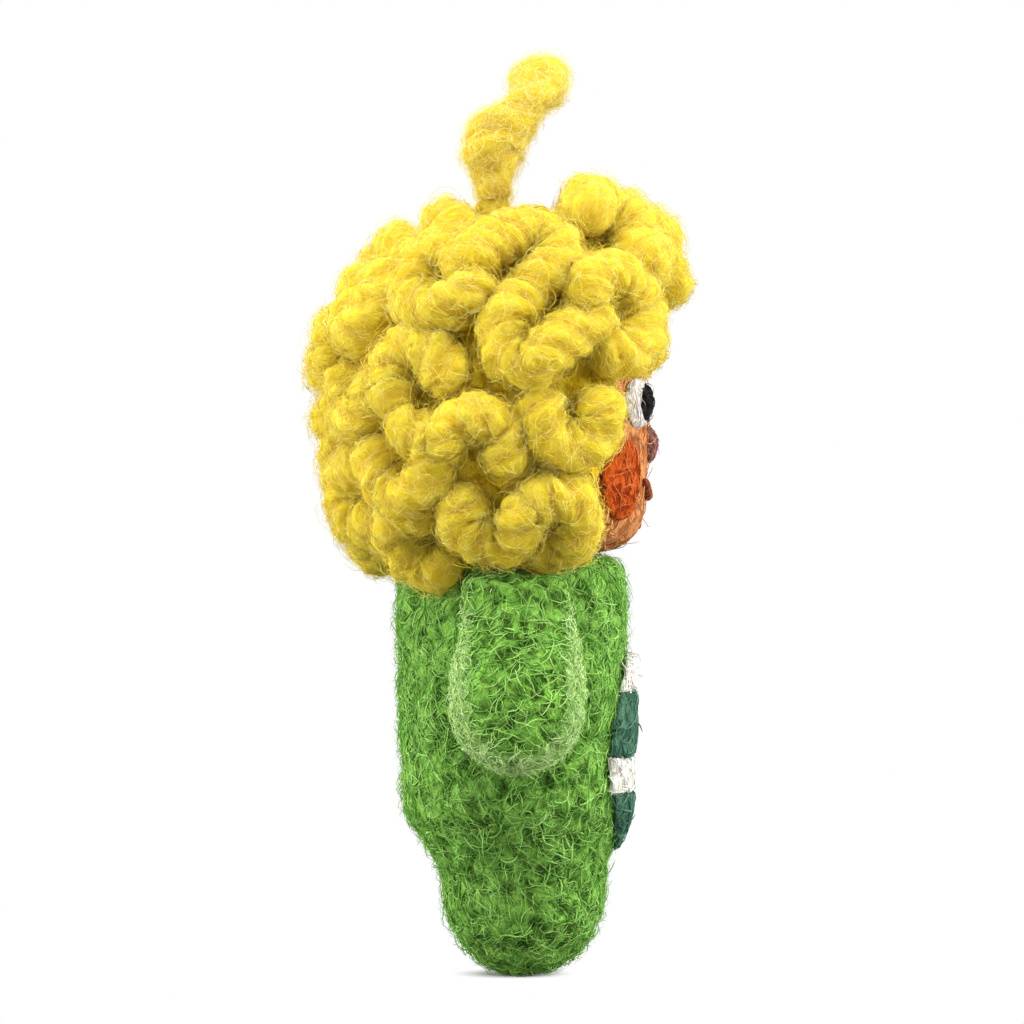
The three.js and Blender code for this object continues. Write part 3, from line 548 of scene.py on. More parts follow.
# the arm felt's edge colour (198, 228, 150) is a painted rim highlight
armFelt = feltMaterial("arm green felt with painted rim light", (3, 36, 1), (66, 132, 22), (150, 206, 86), edge=(198, 228, 150))
headFelt = feltMaterial("warm brown felt", (156, 84, 38), (200, 116, 58), (224, 156, 98))
cheekFelt = feltMaterial("orange felt", (108, 22, 2), (174, 56, 8), (212, 98, 36), 1.2)
eyeFelt = feltMaterial("off-white felt", (168, 156, 150), (226, 218, 212), (246, 242, 238), 1.3)
pupilFelt = feltMaterial("black felt", (4, 4, 4), (16, 15, 15), (44, 42, 42), 1.3)
noseFelt = feltMaterial("dark mauve felt", (70, 40, 36), (120, 76, 66), (160, 112, 98), 1.3)
tealFelt = feltMaterial("teal felt", (22, 58, 44), (42, 86, 66), (84, 122, 98), 1.1)
creamFelt = feltMaterial("cream felt", (170, 166, 148), (220, 217, 204), (242, 241, 234), 1.1)
coreWool = feltMaterial("undyed wool", (160, 148, 124), (214, 206, 186), (236, 230, 216))
capFelt = feltMaterial("golden felt", (204, 160, 4), (228, 194, 12), (242, 220, 66))
hairYarn = yarnMaterial("yellow hair yarn", (222, 184, 6), (228, 200, 18), (238, 222, 104))
loopYarn = yarnMaterial("yellow loop yarn", (208, 168, 4), (218, 190, 16), (234, 216, 100))
mouthYarn = yarnMaterial("russet yarn", (70, 26, 16), (122, 58, 42), (160, 92, 70))
greenFibre = fibreMaterial("green fibres", (72, 138, 36), (166, 214, 114))
# pale green fibres laid only on the arm's edge: a painted rim highlight
rimLightGreenFibre = fibreMaterial("pale green fibres for painted rim light", (158, 204, 100), (214, 238, 172))
brownFibre = fibreMaterial("brown fibres", (170, 100, 54), (218, 160, 110))
orangeFibre = fibreMaterial("orange fibres", (186, 76, 26), (228, 134, 76))
yellowFibre = fibreMaterial("yellow fibres", (220, 188, 14), (244, 230, 116))
hazeFibre = fibreMaterial("pale yellow fibres", (230, 206, 64), (252, 244, 172))
tealFibre = fibreMaterial("teal fibres", (44, 88, 68), (96, 134, 110))
creamFibre = fibreMaterial("cream fibres", (222, 218, 206), (248, 246, 240))
blackFibre = fibreMaterial("black fibres", (14, 14, 14), (60, 58, 58))
mauveFibre = fibreMaterial("mauve fibres", (120, 78, 70), (176, 130, 118))
print("materials ready")


# camera and stage

cameraSet = {"lens": 180.0, "pixel": 0.1375, "frame": 1024, "centre": (0.0, 0.0, 63.25), "nearest": 0.01}
lampSize = 0.5
lampAim = (0, 0, 70)
lamps = (  # name, place from the doll in metres, power
    ("top softbox", (-0.3, -0.1, 0.7), 6.4), ("front softbox", (-0.12, -0.66, 0.15), 6.8),
    ("back softbox", (-0.12, 0.66, 0.15), 6.8), ("far softbox", (0.5, 0.0, 0.3), 3.0),
)
stageSet = {"world": 0.57, "reach": 3.0, "drop": 0.0002, "fade": (0.003, 0.009),  # floor in metres
            "tone": (0.62, 0.62, 0.62, 1), "bounce": (0.22, 0.22, 0.22, 1)}


def pointAt(thing, place, target):
    thing.location = Vector(place)
    thing.rotation_euler = (Vector(target) - Vector(place)).to_track_quat("-Z", "Y").to_euler()


def addCamera():
    data = bpy.data.cameras.new("photo view")
    data.lens = cameraSet["lens"]
    data.clip_start = cameraSet["nearest"]
    camera = addObject("photo view", data)
    distance = cameraSet["frame"] * cameraSet["pixel"] * mm * data.lens / data.sensor_width
    target = np.array(cameraSet["centre"]) * mm + dollBase
    pointAt(camera, target - [distance, 0, 0], target)
    bpy.context.scene.camera = camera


def addLamps():
    target = np.array(lampAim) * mm + dollBase
    for name, place, power in lamps:
        data = bpy.data.lights.new(name, "AREA")
        data.size = lampSize
        data.energy = power
        pointAt(addObject(name, data), target + np.array(place), target)


def addWorld():  # white where the camera sees it, and softer as a light
    world = bpy.data.worlds.new("studio")
    bpy.context.scene.world = world
    world.use_nodes = True
    tree = world.node_tree
    background = tree.nodes["Background"]
    background.inputs["Color"].default_value = (1, 1, 1, 1)
    path = addNode(tree, "LightPath")
    seen = maths(tree, "MAXIMUM", path["Is Camera Ray"], path["Is Glossy Ray"])
    seen = maths(tree, "MAXIMUM", seen, path["Is Transmission Ray"])
    strength = maths(tree, "ADD", times(tree, seen, 1 - stageSet["world"]), stageSet["world"])
    plug(tree, background.inputs["Strength"], strength)


def addFloor():  # paper that keeps the shadow under the foot and glows white around it
    mesh = bpy.data.meshes.new("floor")
    reach = stageSet["reach"]
    corners = [(-reach, -reach), (reach, -reach), (reach, reach), (-reach, reach)]
    mesh.from_pydata([(x, y, bodyLow.z - stageSet["drop"]) for x, y in corners], [], [(0, 1, 2, 3)])
    floor = addObject("floor", mesh)
    paper = bpy.data.materials.new("white paper")
    paper.use_nodes = True
    tree = paper.node_tree
    shader = tree.nodes["Principled BSDF"]
    shader.inputs["Roughness"].default_value = 1.0
    shader.inputs["Specular IOR Level"].default_value = 0.0
    camera = addNode(tree, "LightPath")["Is Camera Ray"]
    plug(tree, shader.inputs["Base Color"], mixColours(tree, camera, stageSet["bounce"], stageSet["tone"]))
    place = addNode(tree, "TexCoord")["Object"]
    away = addNode(tree, "VectorMath", {0: place, 1: tuple(dollBase)}, operation="DISTANCE")["Value"]
    fade = times(tree, softStep(tree, away, *stageSet["fade"]), camera)
    sockets = {0: fade, 1: shader.outputs[0], 2: addNode(tree, "Emission")[0]}
    plug(tree, tree.nodes["Material Output"].inputs["Surface"], addNode(tree, "MixShader", sockets)[0])
    floor.data.materials.append(paper)


addCamera()
addWorld()
addLamps()
addFloor()
bpy.context.scene.view_settings.view_transform = "Standard"
print("camera and stage ready")


# body

bodySize = {
    "height": 57.3, "shoulderRadius": 3.5, "squareness": 2.2, "wall": 5.0,
    "foot": (10.0, 7.2, 1.9), "footFullness": 1.7,  # width, depth, lean to the front
    "ankle": (12.0, 27.0, 22.8, 1.6),  # level, width, depth, lean
    "rump": (24.0, 36.0, 30.9, 0.0),
    "chest": (40.0, 39.0, 31.8, 0.0),
    "shoulder": (57.3, 38.0, 32.0, 0.0),
    "sides": 260, "levels": 190, "coreSides": 48, "coreLevels": 40,
    "endRings": (0.15, 0.85, 6), "crowding": 0.85,  # rings on the flat ends, and how they crowd towards them
}
bodyRelief = {"lumps": (0.35, 7.0), "grain": (0.16, 1.3), "pits": (0.9, 2.9, 0.62, 1.6), "inset": 0.45}
bodyFibres = {"web": 5800, "fuzz": 4000, "mist": 6000}
bodyWebFibre = {**webFibre, "width": (0.12, 0.3)}
overPits = 0.02  # share of the web's fibres that still cross a pit
bodySeed = 11


def bodySection(level):  # half width, half depth and lean at levels
    size = bodySize
    stages = [size[key] for key in ("ankle", "rump", "chest", "shoulder")]
    ankle = stages[0]
    values = []
    drop = np.clip((ankle[0] - level) / ankle[0], 0, 1)
    swell = (1 - drop ** size["footFullness"]) ** (1 / size["footFullness"])
    for k in range(3):
        value = mix(size["foot"][k], ankle[k + 1], swell)
        for low, high in zip(stages, stages[1:]):
            share = ramp(level, low[0], high[0])
            value = np.where(level >= low[0], mix(low[k + 1], high[k + 1], share), value)
        values.append(value)
    past = np.clip(level - size["height"] + size["shoulderRadius"], 0, size["shoulderRadius"])
    rounded = size["shoulderRadius"] - np.sqrt(size["shoulderRadius"] ** 2 - past ** 2)
    return values[0] / 2 - rounded, values[1] / 2 - rounded, values[2]


def bodyRings(wall, levels, sides):
    size = bodySize
    share = np.linspace(0, 1, levels)
    level = size["height"] * (share - np.sin(2 * math.pi * share) / (2 * math.pi) * size["crowding"])
    halfWidth, halfDepth, lean = bodySection(level)
    angle = ringAngles(sides)
    x = (halfWidth - wall)[:, None] * bowed(np.cos(angle), size["squareness"])
    y = (halfDepth - wall)[:, None] * bowed(np.sin(angle), size["squareness"]) - lean[:, None]
    z = wall + level * ((size["height"] - 2 * wall) / size["height"])
    rings = stacked(x, y, z[:, None])
    inner = np.linspace(*size["endRings"])
    bottom = [mix(rings[0].mean(axis=0), rings[0], share) for share in inner]
    top = [mix(rings[-1], rings[-1].mean(axis=0), share) for share in inner]
    return np.concatenate([bottom, rings, top])


def offPits(felt, seed):
    return lambda centres, normals: 1 + overPits - pitMask(centres, felt, seed)


body = feltForm("felt_body", bodyRings(0, bodySize["levels"], bodySize["sides"]), bodyRelief, bodySeed)
finishPiece(body, "doll", bodyFelt, "body_felt", ["body"], fill=0.9)
coreRings = bodyRings(bodySize["wall"] + clearance, bodySize["coreLevels"], bodySize["coreSides"])
core = feltForm("wool_core", coreRings, bodyRelief, seed=12)
finishPiece(core, "doll", coreWool, "core_wool", ["body_core"], fill=0.7)
bodySurface = surfaceOf(body)
bodyFinish = ("doll", greenFibre, "body_felt")
keep = offPits(bodyRelief, bodySeed)
layFibres("felt_body_web", bodySurface, bodyFibres["web"], bodyWebFibre, bodyFinish, seed=13, keep=keep)
layFibres("felt_body_fuzz", bodySurface, bodyFibres["fuzz"], fineFibre, bodyFinish, seed=14)
layFibres("felt_body_mist", bodySurface, bodyFibres["mist"], mistFibre, bodyFinish, seed=15)
print("body ready")


# arms

armSize = {"length": 24.0, "width": 17.8, "topWidth": 15.0, "topThickness": 4.0, "thickness": 7.0,
           "wrap": 1.8, "squareness": 2.6, "forward": 0.7, "shoulderDrop": 4.8, "sides": 130, "levels": 90,
           "tip": 0.02}
# painted rim highlight: towards the flap's edge the felt's colour is mixed to a pale rim colour and pale
# fibres are laid, for the light caught by the fuzzy edge
armRimLight = {"start": 0.7, "blend": 0.16, "top": -1.0, "fade": 8.0,  # shares of the way to the edge; then levels
          "fibreStart": 0.74, "fibreBlend": 0.12, "elsewhere": 0.002}
armRelief = {"lumps": (0.25, 5.0), "grain": (0.14, 1.2), "pits": (0.7, 2.7, 0.6, 1.5), "inset": 0.25}
# the rim fibres are pale and belong to the painted rim highlight
armFibres = {"web": 1400, "rim": 2600}
rimLightFibre = {**fineFibre, "steps": 5, "length": (1.4, 3.2), "looseShare": 0.8, "lift": (0.2, 1.0),
            "width": (0.06, 0.14)}
armStraight = armSize["length"] - armSize["width"] / 2
shoulderLevel = bodySize["height"] - armSize["shoulderDrop"]


def armSection(down):  # half width and half thickness
    size = armSize
    topRadius = size["topThickness"] / 2
    swell = smooth(down / armStraight)
    past = np.clip((down - armStraight) / (size["width"] / 2), 0, 1)
    taper = np.sqrt(1 - past ** 2)
    top = topRadius - np.sqrt(np.maximum(0, topRadius ** 2 - np.minimum(0, down) ** 2))
    halfWidth = mix(size["topWidth"], size["width"], swell) / 2 * taper - top
    halfThickness = mix(size["topThickness"], size["thickness"], swell) / 2 * taper - top
    return halfWidth, halfThickness


def rimShare(across, down):  # how far out towards the edge of the flap
    side = np.abs(across) / (armSize["width"] / 2)
    return np.hypot(side, np.clip((down - armStraight) / (armSize["length"] - armStraight), 0, 1))


def armRings(sign):  # the flap from its tip up, and how much of each point gets the painted rim highlight
    size = armSize
    turn = math.pi * np.linspace(0.0, 1, size["levels"])
    down = size["length"] * (1 + np.cos(turn)) / 2 - size["topThickness"] / 2 * (1 - np.cos(turn)) / 2
    down[0] -= size["tip"]
    down[-1] += size["tip"]
    halfWidth, halfThickness = armSection(down)
    held = np.clip(down, 0, armStraight)
    bodySide = bodySection(shoulderLevel - held)[0] + clearance
    middle = bodySide + armSection(held)[1]
    angle = ringAngles(size["sides"])
    across = halfWidth[:, None] * bowed(np.sin(angle), size["squareness"])
    out = halfThickness[:, None] * bowed(np.cos(angle), size["squareness"])
    wrap = size["wrap"] * (across / (size["width"] / 2)) ** 2
    x = sign * (middle[:, None] - wrap + out)
    z = (shoulderLevel - down)[:, None]
    # edge is the painted rim highlight's share, growing towards the flap's edge and fading in at the top
    edge = smooth((rimShare(across, down[:, None]) - armRimLight["start"]) / armRimLight["blend"])
    edge = edge * smooth((down[:, None] - armRimLight["top"]) / armRimLight["fade"])
    return stacked(x, across - size["forward"], z), edge


# where the pale fibres of the painted rim highlight lie: mostly on the flap's edge
def onRimLight(centres, normals):
    share = rimShare(centres[:, 1] + armSize["forward"], shoulderLevel - centres[:, 2])
    return armRimLight["elsewhere"] + smooth((share - armRimLight["fibreStart"]) / armRimLight["fibreBlend"])


for arm, sign, seed in (("right_arm", -1, 21), ("left_arm", 1, 31)):
    rings, edge = armRings(sign)
    flap = feltForm("felt_" + arm, rings, armRelief, seed, edge)
    finishPiece(flap, arm, armFelt, "arm_felt", [arm], fill=0.8)
    flapSurface = surfaceOf(flap)
    # the rim layer lays pale fibres for the painted rim highlight
    layers = (("_web", webFibre, greenFibre, offPits(armRelief, seed)), ("_rim", rimLightFibre, rimLightGreenFibre, onRimLight))
    for layer, (suffix, fibre, material, keep) in enumerate(layers, 1):
        count = armFibres[suffix[1:]]
        finish = (arm, material, "arm_felt")
        layFibres("felt_" + arm + suffix, flapSurface, count, fibre, finish, seed + layer, keep)
print("arms ready")


# belly pad: four stripes on the front of the body

padSize = {"bottom": 17.2, "width": 21.6, "lift": 1.1, "edge": 0.5, "groove": 0.5, "sunk": 0.5,
           "roundness": 0.35, "tip": 0.995, "thinnest": 0.02, "sides": 90, "levels": 26, "fibres": 220}
padStripes = (("lower_teal", 7.8), ("mid_cream", 4.8), ("upper_teal", 9.0), ("top_cream", 4.8))
padRelief = {"lumps": (0.12, 3.0), "grain": (0.1, 0.9), "pits": (0.25, 2.4, 0.4, 1.0), "inset": 0.0}
padFibre = {**webFibre, "length": (3.0, 7.0), "width": (0.14, 0.3), "lift": (0.3, 1.2)}
padLooks = {"teal": (tealFelt, tealFibre), "cream": (creamFelt, creamFibre)}


def stripeRings(bottom, height):
    size = padSize
    padHeight = sum(stripe[1] for stripe in padStripes)
    share = np.linspace(0, 1, size["levels"])
    level = bottom + height * (1 - np.cos(math.pi * share)) / 2
    halfWidth, halfDepth, lean = bodySection(level)
    up = np.clip(np.abs(level - (size["bottom"] + padHeight / 2)) / (padHeight / 2), 0, size["tip"])
    reach = size["width"] / 2 * np.sqrt(1 - up ** 2)
    inside = np.minimum(level - bottom, bottom + height - level)
    swell = np.sqrt(np.clip(inside / size["groove"], size["thinnest"], 1))
    angle = ringAngles(size["sides"])
    across = reach[:, None] * np.cos(angle)
    share = np.hypot(across / (size["width"] / 2), up[:, None])
    dome = domed(size["edge"], size["lift"], share) * swell[:, None]
    wave = np.sin(angle)
    offset = np.where(wave >= 0, dome, -size["sunk"]) * np.abs(wave) ** size["roundness"]
    square = bodySize["squareness"]
    fall = np.clip(np.abs(across) / halfWidth[:, None], 0, 1) ** square
    y = -lean[:, None] - halfDepth[:, None] * (1 - fall) ** (1 / square) - clearance - offset
    return stacked(across, y, level[:, None])


bottom = padSize["bottom"]
for seed, (name, height) in enumerate(padStripes, 41):
    tint = name.split("_")[1]
    felt, fibres = padLooks[tint]
    title = "felt_stripe_" + name
    stripe = feltForm(title, stripeRings(bottom, height), padRelief, seed)
    finishPiece(stripe, "doll", felt, tint + "_felt", ["belly_stripe_" + name], fill=0.6)
    finish = ("doll", fibres, tint + "_felt")
    layFibres(title + "_fuzz", surfaceOf(stripe), padSize["fibres"], padFibre, finish, seed + 10)
    bottom += height
print("belly pad ready")


# head

headSize = {"width": 38.5, "depth": 37.0, "height": 41.0, "crown": 2.3, "jaw": 6.0, "nape": 3.0,
            "sides": 220, "levels": 170, "lastRise": 89}
headRelief = {"lumps": (0.25, 6.0), "grain": (0.14, 1.2), "pits": (0.5, 2.8, 0.5, 1.4), "inset": 0.0}
headFibres = {"web": 900, "fuzz": 500, "faceBack": 6, "faceTop": 16, "elsewhere": 0.02}  # most on the face
headWebFibre = {**webFibre, "length": (3.0, 6.0), "looseShare": 0.0}
headFuzzFibre = {**fineFibre, "lift": (0.4, 1.6)}
headHalf = [headSize[key] / 2 for key in ("width", "depth", "height")]
headMiddle = bodySize["height"] + clearance + headHalf[2]
headCentre = np.array([0.0, 0.0, headMiddle])


def headReach(way):
    level = np.hypot(way[..., 0] / headHalf[0], way[..., 1] / headHalf[1])
    upward = np.abs(way[..., 2]) / headHalf[2]
    facing = -way[..., 1] / np.maximum(np.hypot(way[..., 0], way[..., 1]), 1e-9)
    lower = mix(headSize["nape"], headSize["jaw"], smooth(facing))
    power = np.where(way[..., 2] > 0, headSize["crown"], lower)
    return (level ** power + upward ** power) ** (-1 / power)


def headWay(turn, rise):  # degrees from the face towards the right side, and above eye level
    turn, rise = np.radians(turn), np.radians(rise)
    level = np.cos(rise)
    return stacked(-level * np.sin(turn), -level * np.cos(turn), np.sin(rise))


def headPoint(way, offset):
    return headCentre + way * (headReach(way) + offset)[..., None]


def headRings():
    rise = np.linspace(-headSize["lastRise"], headSize["lastRise"], headSize["levels"])[:, None]
    turn = np.linspace(180, -180, headSize["sides"], endpoint=False)[None, :]
    return headPoint(headWay(turn, rise), 0.0)


def onFace(centres, normals):
    ahead = centres[:, 1] < headFibres["faceBack"]
    below = centres[:, 2] < headMiddle + headFibres["faceTop"]
    return np.where(ahead & below, 1.0, headFibres["elsewhere"])


head = feltForm("felt_head", headRings(), headRelief, seed=51)
finishPiece(head, "doll", headFelt, "head_felt", ["head"], fill=0.95)
headSurface = surfaceOf(head)
headFinish = ("doll", brownFibre, "head_felt")
layFibres("felt_head_web", headSurface, headFibres["web"], headWebFibre, headFinish, seed=52, keep=onFace)
layFibres("felt_head_fuzz", headSurface, headFibres["fuzz"], headFuzzFibre, headFinish, seed=53, keep=onFace)


# face: flat felt pieces laid over the head, and a mouth of yarn

faceSize = {"edge": 0.35, "sunk": 0.2, "start": 0.06, "edgePower": 8, "edgeRoom": 0.02, "sides": 60,
            "levels": 16, "backStep": 4, "fibres": 90}
faceRelief = {"lumps": (0.06, 2.0), "grain": (0.06, 0.7), "pits": (0.15, 1.8, 0.4, 0.8), "inset": 0.0}
faceFibre = {**webFibre, "length": (2.0, 4.5), "width": (0.1, 0.22), "lift": (0.2, 0.7), "arch": (0.02, 0.2)}
eyeSize = {"turn": 24.0, "width": 8.4, "height": 6.8, "lift": 0.9}
pupilSize = {"inward": 1.0, "width": 4.2, "height": 4.6, "lift": 0.7, "sunk": 0.3}
noseSize = {"drop": 16.0, "width": 4.8, "height": 4.6, "lift": 1.3}
cheekSize = {"turn": 37.0, "drop": 28.0, "width": 9.2, "height": 10.0, "lift": 0.8}
mouthSize = {"drop": 34.0, "turn": 15.0, "smile": 4.0, "thickness": 1.4, "lift": 0.1, "points": 40}
mouthYarnForm = {"step": 0.12, "sides": 16, "plies": 2, "pitch": 2.6, "groove": 0.25, "slubs": (0.08, 0.9),
                 "grain": (0.05, 0.4), "wobble": (0.05, 1.5), "uneven": 0.2}


# places a point by how far right and up it is from one spot on the head, and how far off
def overHead(turn, rise):
    middle = headWay(turn, rise)
    reach = headReach(middle)
    across = unit(np.cross([0, 0, 1], middle))
    up = np.cross(middle, across)

    def place(right, high, offset):
        way = middle + across * (right / reach)[..., None] + up * (high / reach)[..., None]
        return headPoint(unit(way), offset)
    return place


def domeOf(size, across, up):
    share = np.hypot(across / (size["width"] / 2), up / (size["height"] / 2))
    return domed(faceSize["edge"], size["lift"], share)


def laidRings(size, place):
    angle = ringAngles(faceSize["sides"])
    turn = np.linspace(faceSize["start"], 1, faceSize["levels"])[:, None]
    across = size["width"] / 2 * turn * np.cos(angle)
    up = size["height"] / 2 * turn * np.sin(angle)
    rounded = np.sqrt(np.clip(1 + faceSize["edgeRoom"] - turn ** faceSize["edgePower"], 0, 1))
    front = place(across, up, clearance + domeOf(size, across, up) * rounded)
    back = place(across, up, -faceSize["sunk"])
    return np.concatenate([back[::faceSize["backStep"]], front[::-1]])


def facePiece(part, node, size, place, felt, fibres, seed):
    name = "felt_" + part
    slot = part.split("_")[-1] + "_felt"
    patch = feltForm(name, laidRings(size, place), faceRelief, seed)
    finishPiece(patch, "doll", felt, slot, [node])
    finish = ("doll", fibres, slot)
    layFibres(name + "_fuzz", surfaceOf(patch), faceSize["fibres"], faceFibre, finish, seed + 1)


for side, sign, seed in (("right", 1, 61), ("left", -1, 71)):
    overEye = overHead(sign * eyeSize["turn"], 0.0)
    overCheek = overHead(sign * cheekSize["turn"], -cheekSize["drop"])
    eye, pupil, cheek = (side + "_" + part for part in ("eye", "pupil", "cheek"))

    def overWhite(across, up, offset):
        moved = across + sign * pupilSize["inward"]
        return overEye(moved, up, clearance + domeOf(eyeSize, moved, up) - pupilSize["sunk"] + offset)

    facePiece(eye, eye + "_white", eyeSize, overEye, eyeFelt, creamFibre, seed)
    facePiece(pupil, pupil, pupilSize, overWhite, pupilFelt, blackFibre, seed + 2)
    facePiece(cheek, cheek, cheekSize, overCheek, cheekFelt, orangeFibre, seed + 4)
facePiece("nose", "nose", noseSize, overHead(0.0, -noseSize["drop"]), noseFelt, mauveFibre, seed=81)

bend = np.linspace(-1, 1, mouthSize["points"])
mouthWay = headWay(mouthSize["turn"] * bend, mouthSize["smile"] * bend ** 2 - mouthSize["drop"])
mouthPath = headPoint(mouthWay, clearance + mouthSize["lift"])
mouth = yarnForm("yarn_mouth", mouthPath, mouthSize["thickness"] / 2, mouthYarnForm, seed=83)
finishPiece(mouth, "doll", mouthYarn, "mouth_yarn", ["mouth"])
print("head and face ready")


# hair: a golden cap, and yarn curls over it

hairSize = {"tuck": 0.3, "tuckPower": 4, "cadYarn": 6.8, "yarn": 7.3, "gap": 0.9, "rise": 1.2,
            "hookTail": 6.0, "ring": 4.6, "ringOpening": 124.0, "turnPoints": 60, "legPoints": 10}
capSize = {"thickness": 1.2, "sunk": 0.3, "front": 18.0, "back": -48.0, "turns": (44.0, 66.0),  # the hairline
           "swell": 3.4, "swellRise": 58.0, "swellReach": (0.7, 0.84), "swellLevels": (26, 42),  # front curls
           "fill": 1.8, "fillEdge": 0.2, "sides": 160, "levels": 70, "crown": 0.02, "insideStep": 6}
capRelief = {"lumps": (0.8, 3.4), "grain": (0.35, 1.1), "pits": (0.5, 2.6, 0.45, 1.2), "inset": -1.0}
capBare = {"ahead": -0.1, "upward": 0.8, "elsewhere": 0.01}  # which normals have no curls over them
hairFibres = {"cap": 7500, "flyaway": 6000, "fuzz": 13000, "mist": 17000}
strayFibre = {**fineFibre, "steps": 7, "length": (3.0, 8.0), "width": (0.04, 0.08), "lift": (0.3, 1.6),
              "arch": (0.2, 1.3)}
fuzzFibre = {**fineFibre, "steps": 5, "length": (1.2, 3.4), "bend": 2.4, "wander": 0.5, "width": (0.05, 0.11),
             "lift": (0.2, 0.9), "arch": (0.04, 0.45), "align": 0.4, "lay": 0.6}
capFibre = {**fuzzFibre, "width": (0.12, 0.24)}
capOffset = clearance + capSize["thickness"]
bedOffset = capOffset + clearance + hairSize["cadYarn"] / 2
bedReach = headHalf[2] + bedOffset
lifts = {"fringe": 2.2, "parting": 3.4, "crown": 3.4, "temple": 1.6, "upper": 1.0, "side": 0.5, "low": 0.2,
         "sunk": -0.4, "deep": -1.0}
curls = (  # name, shape, turn from the face, rise, where it opens (0 front, 90 up, 180 back), lift
    ("temple", "ring", 56, 25, 200, "temple"), ("upper_side", "ring", 115, 36, 45, "side"),
    ("mid_side", "hook", 87, 18, 40, "side"), ("mid_front", "bight", 73, -9, 90, "side"),
    ("low_rear", "ring", 126, -18, 120, "low"), ("low_front", "bight", 73, -39, 185, "low"),
    ("mid_back", "bight", 122, 10, 285, "low"), ("low_mid", "bight", 100, -9, 265, "low"),
    ("low_side", "bight", 98, -41, 80, "low"), ("low_back", "bight", 129, -46, 10, "low"),
    ("crown_front", "bight", 32, 60, 245, "crown"), ("fringe", "bight", 26, 43, 265, "fringe"),
    ("crown_mid", "hook", 80, 48, 215, "upper"), ("crown_side", "bight", 137, 57, 175, "deep"),
    ("upper_back", "bight", 149, 28, 120, "low"), ("back_side", "bight", 152, -1, 75, "sunk"),
    ("back_low", "bight", 155, -30, 0, "sunk"), ("crown_back", "bight", 180, 46, 0, "sunk"),
    ("back_upper", "bight", 180, 16, 90, "side"), ("back_mid", "bight", 180, -13, 180, "deep"),
    ("nape", "bight", 180, -45, 90, "deep"), ("parting", "bight", 0, 53, 90, "parting"),
)


def hairPoint(off, offset):  # off is from the head's middle; below eye level the bed is a wall
    above = headPoint(unit(off), offset)
    level = np.hypot(off[..., 0], off[..., 1])
    reach = level / np.hypot(off[..., 0] / headHalf[0], off[..., 1] / headHalf[1])
    tuck = 1 - hairSize["tuck"] * (off[..., 2] / headHalf[2]) ** hairSize["tuckPower"]
    out = (reach * tuck + offset) / level
    below = headCentre + stacked(off[..., 0] * out, off[..., 1] * out, off[..., 2])
    return np.where(off[..., 2:] >= 0, above, below)


def capRings():
    size = capSize
    turn = np.linspace(180, -180, size["sides"], endpoint=False)[None, :]
    hairline = mix(size["front"], size["back"], ramp(np.abs(turn), *size["turns"]))
    share = np.linspace(size["crown"], 1, size["levels"])[:, None]
    rise = mix(90.0, hairline, share)
    way = headWay(turn, rise) * bedReach
    near = unit(way) @ headWay(0.0, size["swellRise"])
    swell = size["swell"] * ramp(near, *size["swellReach"]) * ramp(rise, *size["swellLevels"])
    fill = size["fill"] * smooth((1 - share) / size["fillEdge"])
    outside = hairPoint(way, capOffset + np.maximum(swell, fill))
    inside = headPoint(unit(way), -size["sunk"])
    return np.concatenate([inside[::size["insideStep"]], outside[::-1]])


def curlPlaces():
    places = []
    for name, shape, turn, rise, opens, lift in curls:
        for side, sign in ((("right_", 1), ("left_", -1)) if turn % 180 else (("", 1),)):
            way = headWay(sign * turn, rise)
            middle = hairPoint(way * bedReach, bedOffset)
            places.append({"name": side + name, "shape": shape, "turn": sign * turn, "rise": rise,
                           "opens": opens, "sign": sign, "way": way, "middle": middle, "lift": lifts[lift]})
    middles = np.array([place["middle"] for place in places])
    gaps = np.linalg.norm(middles[:, None] - middles, axis=-1)
    np.fill_diagonal(gaps, np.inf)
    for place, reach in zip(places, (gaps - gaps.min(axis=0) / 2).min(axis=1)):
        place["reach"] = reach  # the room before the nearest curl's own half
    return places


def curlPath(place):
    size = hairSize
    bight = place["shape"] != "ring"
    tail = size["hookTail"] if place["shape"] == "hook" else 0
    opening = math.radians(180 if bight else size["ringOpening"])
    radius = (size["cadYarn"] + size["gap"]) / 2 if bight else size["ring"]
    leg = max(0, 2 * place["reach"] - size["gap"] - size["cadYarn"] - radius) if bight else 0
    shift = (radius - leg) / 2 if bight else 0
    angle = np.linspace(opening / 2, 2 * math.pi - opening / 2, size["turnPoints"])
    along = shift + radius * np.cos(angle)
    across = radius * np.sin(angle)
    if leg + tail > 0:
        share = np.linspace(1, 0, size["legPoints"], endpoint=False)
        straight = np.full(len(share), radius)
        along = np.concatenate([shift + leg * share, along, shift + (leg + tail) * share[::-1]])
        across = np.concatenate([straight, across, -straight])
    out = place["way"] if place["rise"] > 0 else unit(place["way"] * [1, 1, 0])
    turn = math.radians(place["turn"])
    front = np.array([math.cos(turn), -math.sin(turn), 0]) * place["sign"]
    upward = np.cross(out, front) * place["sign"]
    opens = math.radians(place["opens"])
    off = place["middle"] - headCentre
    off = off + np.outer(along * math.cos(opens) - across * math.sin(opens), front)
    off = off + np.outer(along * math.sin(opens) + across * math.cos(opens), upward)
    return hairPoint(off, bedOffset + place["lift"] + np.linspace(0, size["rise"], len(off)))


def onBareCap(centres, normals):  # the forehead, and the crown before the loop
    ahead = (normals[:, 1] < capBare["ahead"]) & (np.abs(centres[:, 0]) < headHalf[0])
    return np.where(ahead | (normals[:, 2] > capBare["upward"]), 1.0, capBare["elsewhere"])


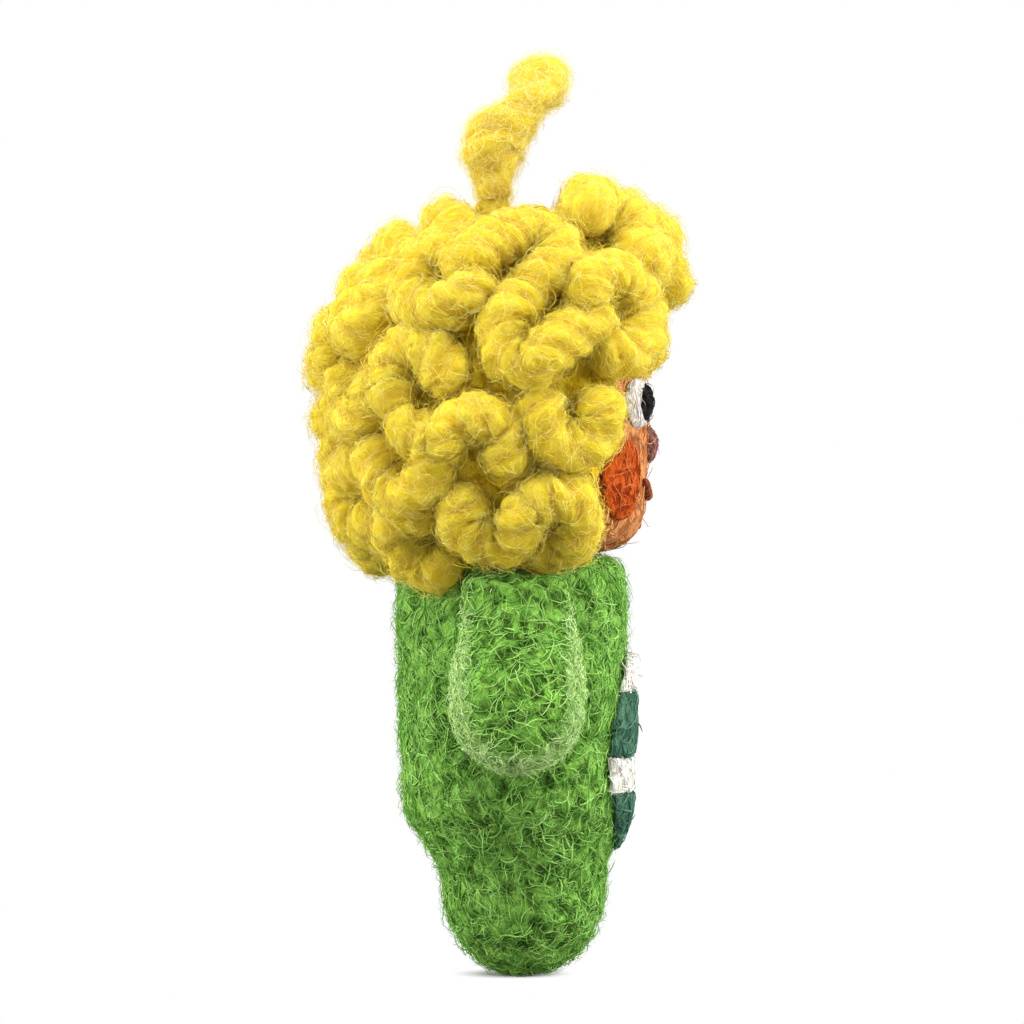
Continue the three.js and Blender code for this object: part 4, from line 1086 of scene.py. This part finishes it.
cap = feltForm("felt_hair_cap", capRings(), capRelief, seed=91)
curlPieces = []
for seed, place in enumerate(curlPlaces(), 101):
    curl = yarnForm("curl_" + place["name"], curlPath(place), hairSize["yarn"] / 2, curlYarn, seed)
    finishPiece(curl, "doll", hairYarn, "hair_yarn", ["hair_" + place["name"]])
    curlPieces.append(curl)
finishPiece(cap, "doll", capFelt, "cap_felt", ["hair_cap"])
curlSurface = surfaceOf(*curlPieces)
yellow = ("doll", yellowFibre, "hair_yarn")
haze = ("doll", hazeFibre, "hair_yarn")
capFinish = ("doll", yellowFibre, "cap_felt")
layFibres("hair_cap_fuzz", surfaceOf(cap), hairFibres["cap"], capFibre, capFinish, seed=150, keep=onBareCap)
layFibres("hair_flyaway", curlSurface, hairFibres["flyaway"], strayFibre, yellow, seed=151)
for layer, seed in enumerate((152, 153)):
    layFibres("hair_fuzz_%d" % layer, curlSurface, hairFibres["fuzz"], fuzzFibre, yellow, seed)
layFibres("hair_mist", curlSurface, hairFibres["mist"], mistFibre, haze, seed=154)
print("hair ready")


# hanging loop and its bight in the head

loopSize = {"yarn": 6.4, "slub": 0.27, "slubs": 3, "spread": 13.2, "height": 14.7, "lean": 6.2,
            "leanStart": 5.0, "setBack": 2.6, "rootDepth": 13.0, "points": 90, "rootPoints": 40,
            "fibres": 3500}
loopYarnForm = {**curlYarn, "plies": 2, "pitch": 9.0}
crownLevel = bodySize["height"] + clearance + headSize["height"]
pivotLevel = crownLevel + capOffset + clearance + hairSize["cadYarn"]


def loopPath():
    size = loopSize
    half = size["spread"] / 2
    leg = size["height"] - half
    total = 2 * leg + math.pi * half
    along = np.linspace(0, total, size["points"])
    angle = np.clip((along - leg) / half, 0, math.pi)
    x = -half * np.cos(angle)
    high = np.where(along > total - leg, total - along, leg + half * np.sin(angle))
    high = np.where(along < leg, along, high)
    forward = size["lean"] * ramp(high, size["leanStart"], size["height"])
    wave = np.cos(2 * math.pi * size["slubs"] * (along / total - 0.5))
    radii = size["yarn"] / 2 * (1 + size["slub"] * wave)
    return stacked(x, size["setBack"] - forward, pivotLevel + high), radii


def rootPath():
    size = loopSize
    half = size["spread"] / 2
    radius = size["yarn"] / 2 * (1 - size["slub"])
    turnLevel = crownLevel - size["rootDepth"] + half + radius
    angle = np.linspace(0, math.pi, size["rootPoints"])
    bend = stacked(-half * np.cos(angle), size["setBack"], turnLevel - half * np.sin(angle))
    top = np.array([0, 0, pivotLevel - turnLevel - radius])
    return np.concatenate([[bend[0] + top], bend, [bend[-1] + top]]), radius


arch = yarnForm("yarn_loop", *loopPath(), loopYarnForm, seed=161)
finishPiece(arch, "loop", loopYarn, "loop_yarn", ["hanging_loop"])
archFinish = ("loop", hazeFibre, "loop_yarn")
layFibres("yarn_loop_fuzz", surfaceOf(arch), loopSize["fibres"], mistFibre, archFinish, seed=162)
root = yarnForm("yarn_loop_root", *rootPath(), loopYarnForm, seed=163)
finishPiece(root, "doll", loopYarn, "loop_yarn", ["loop_root"])
print("loop ready")
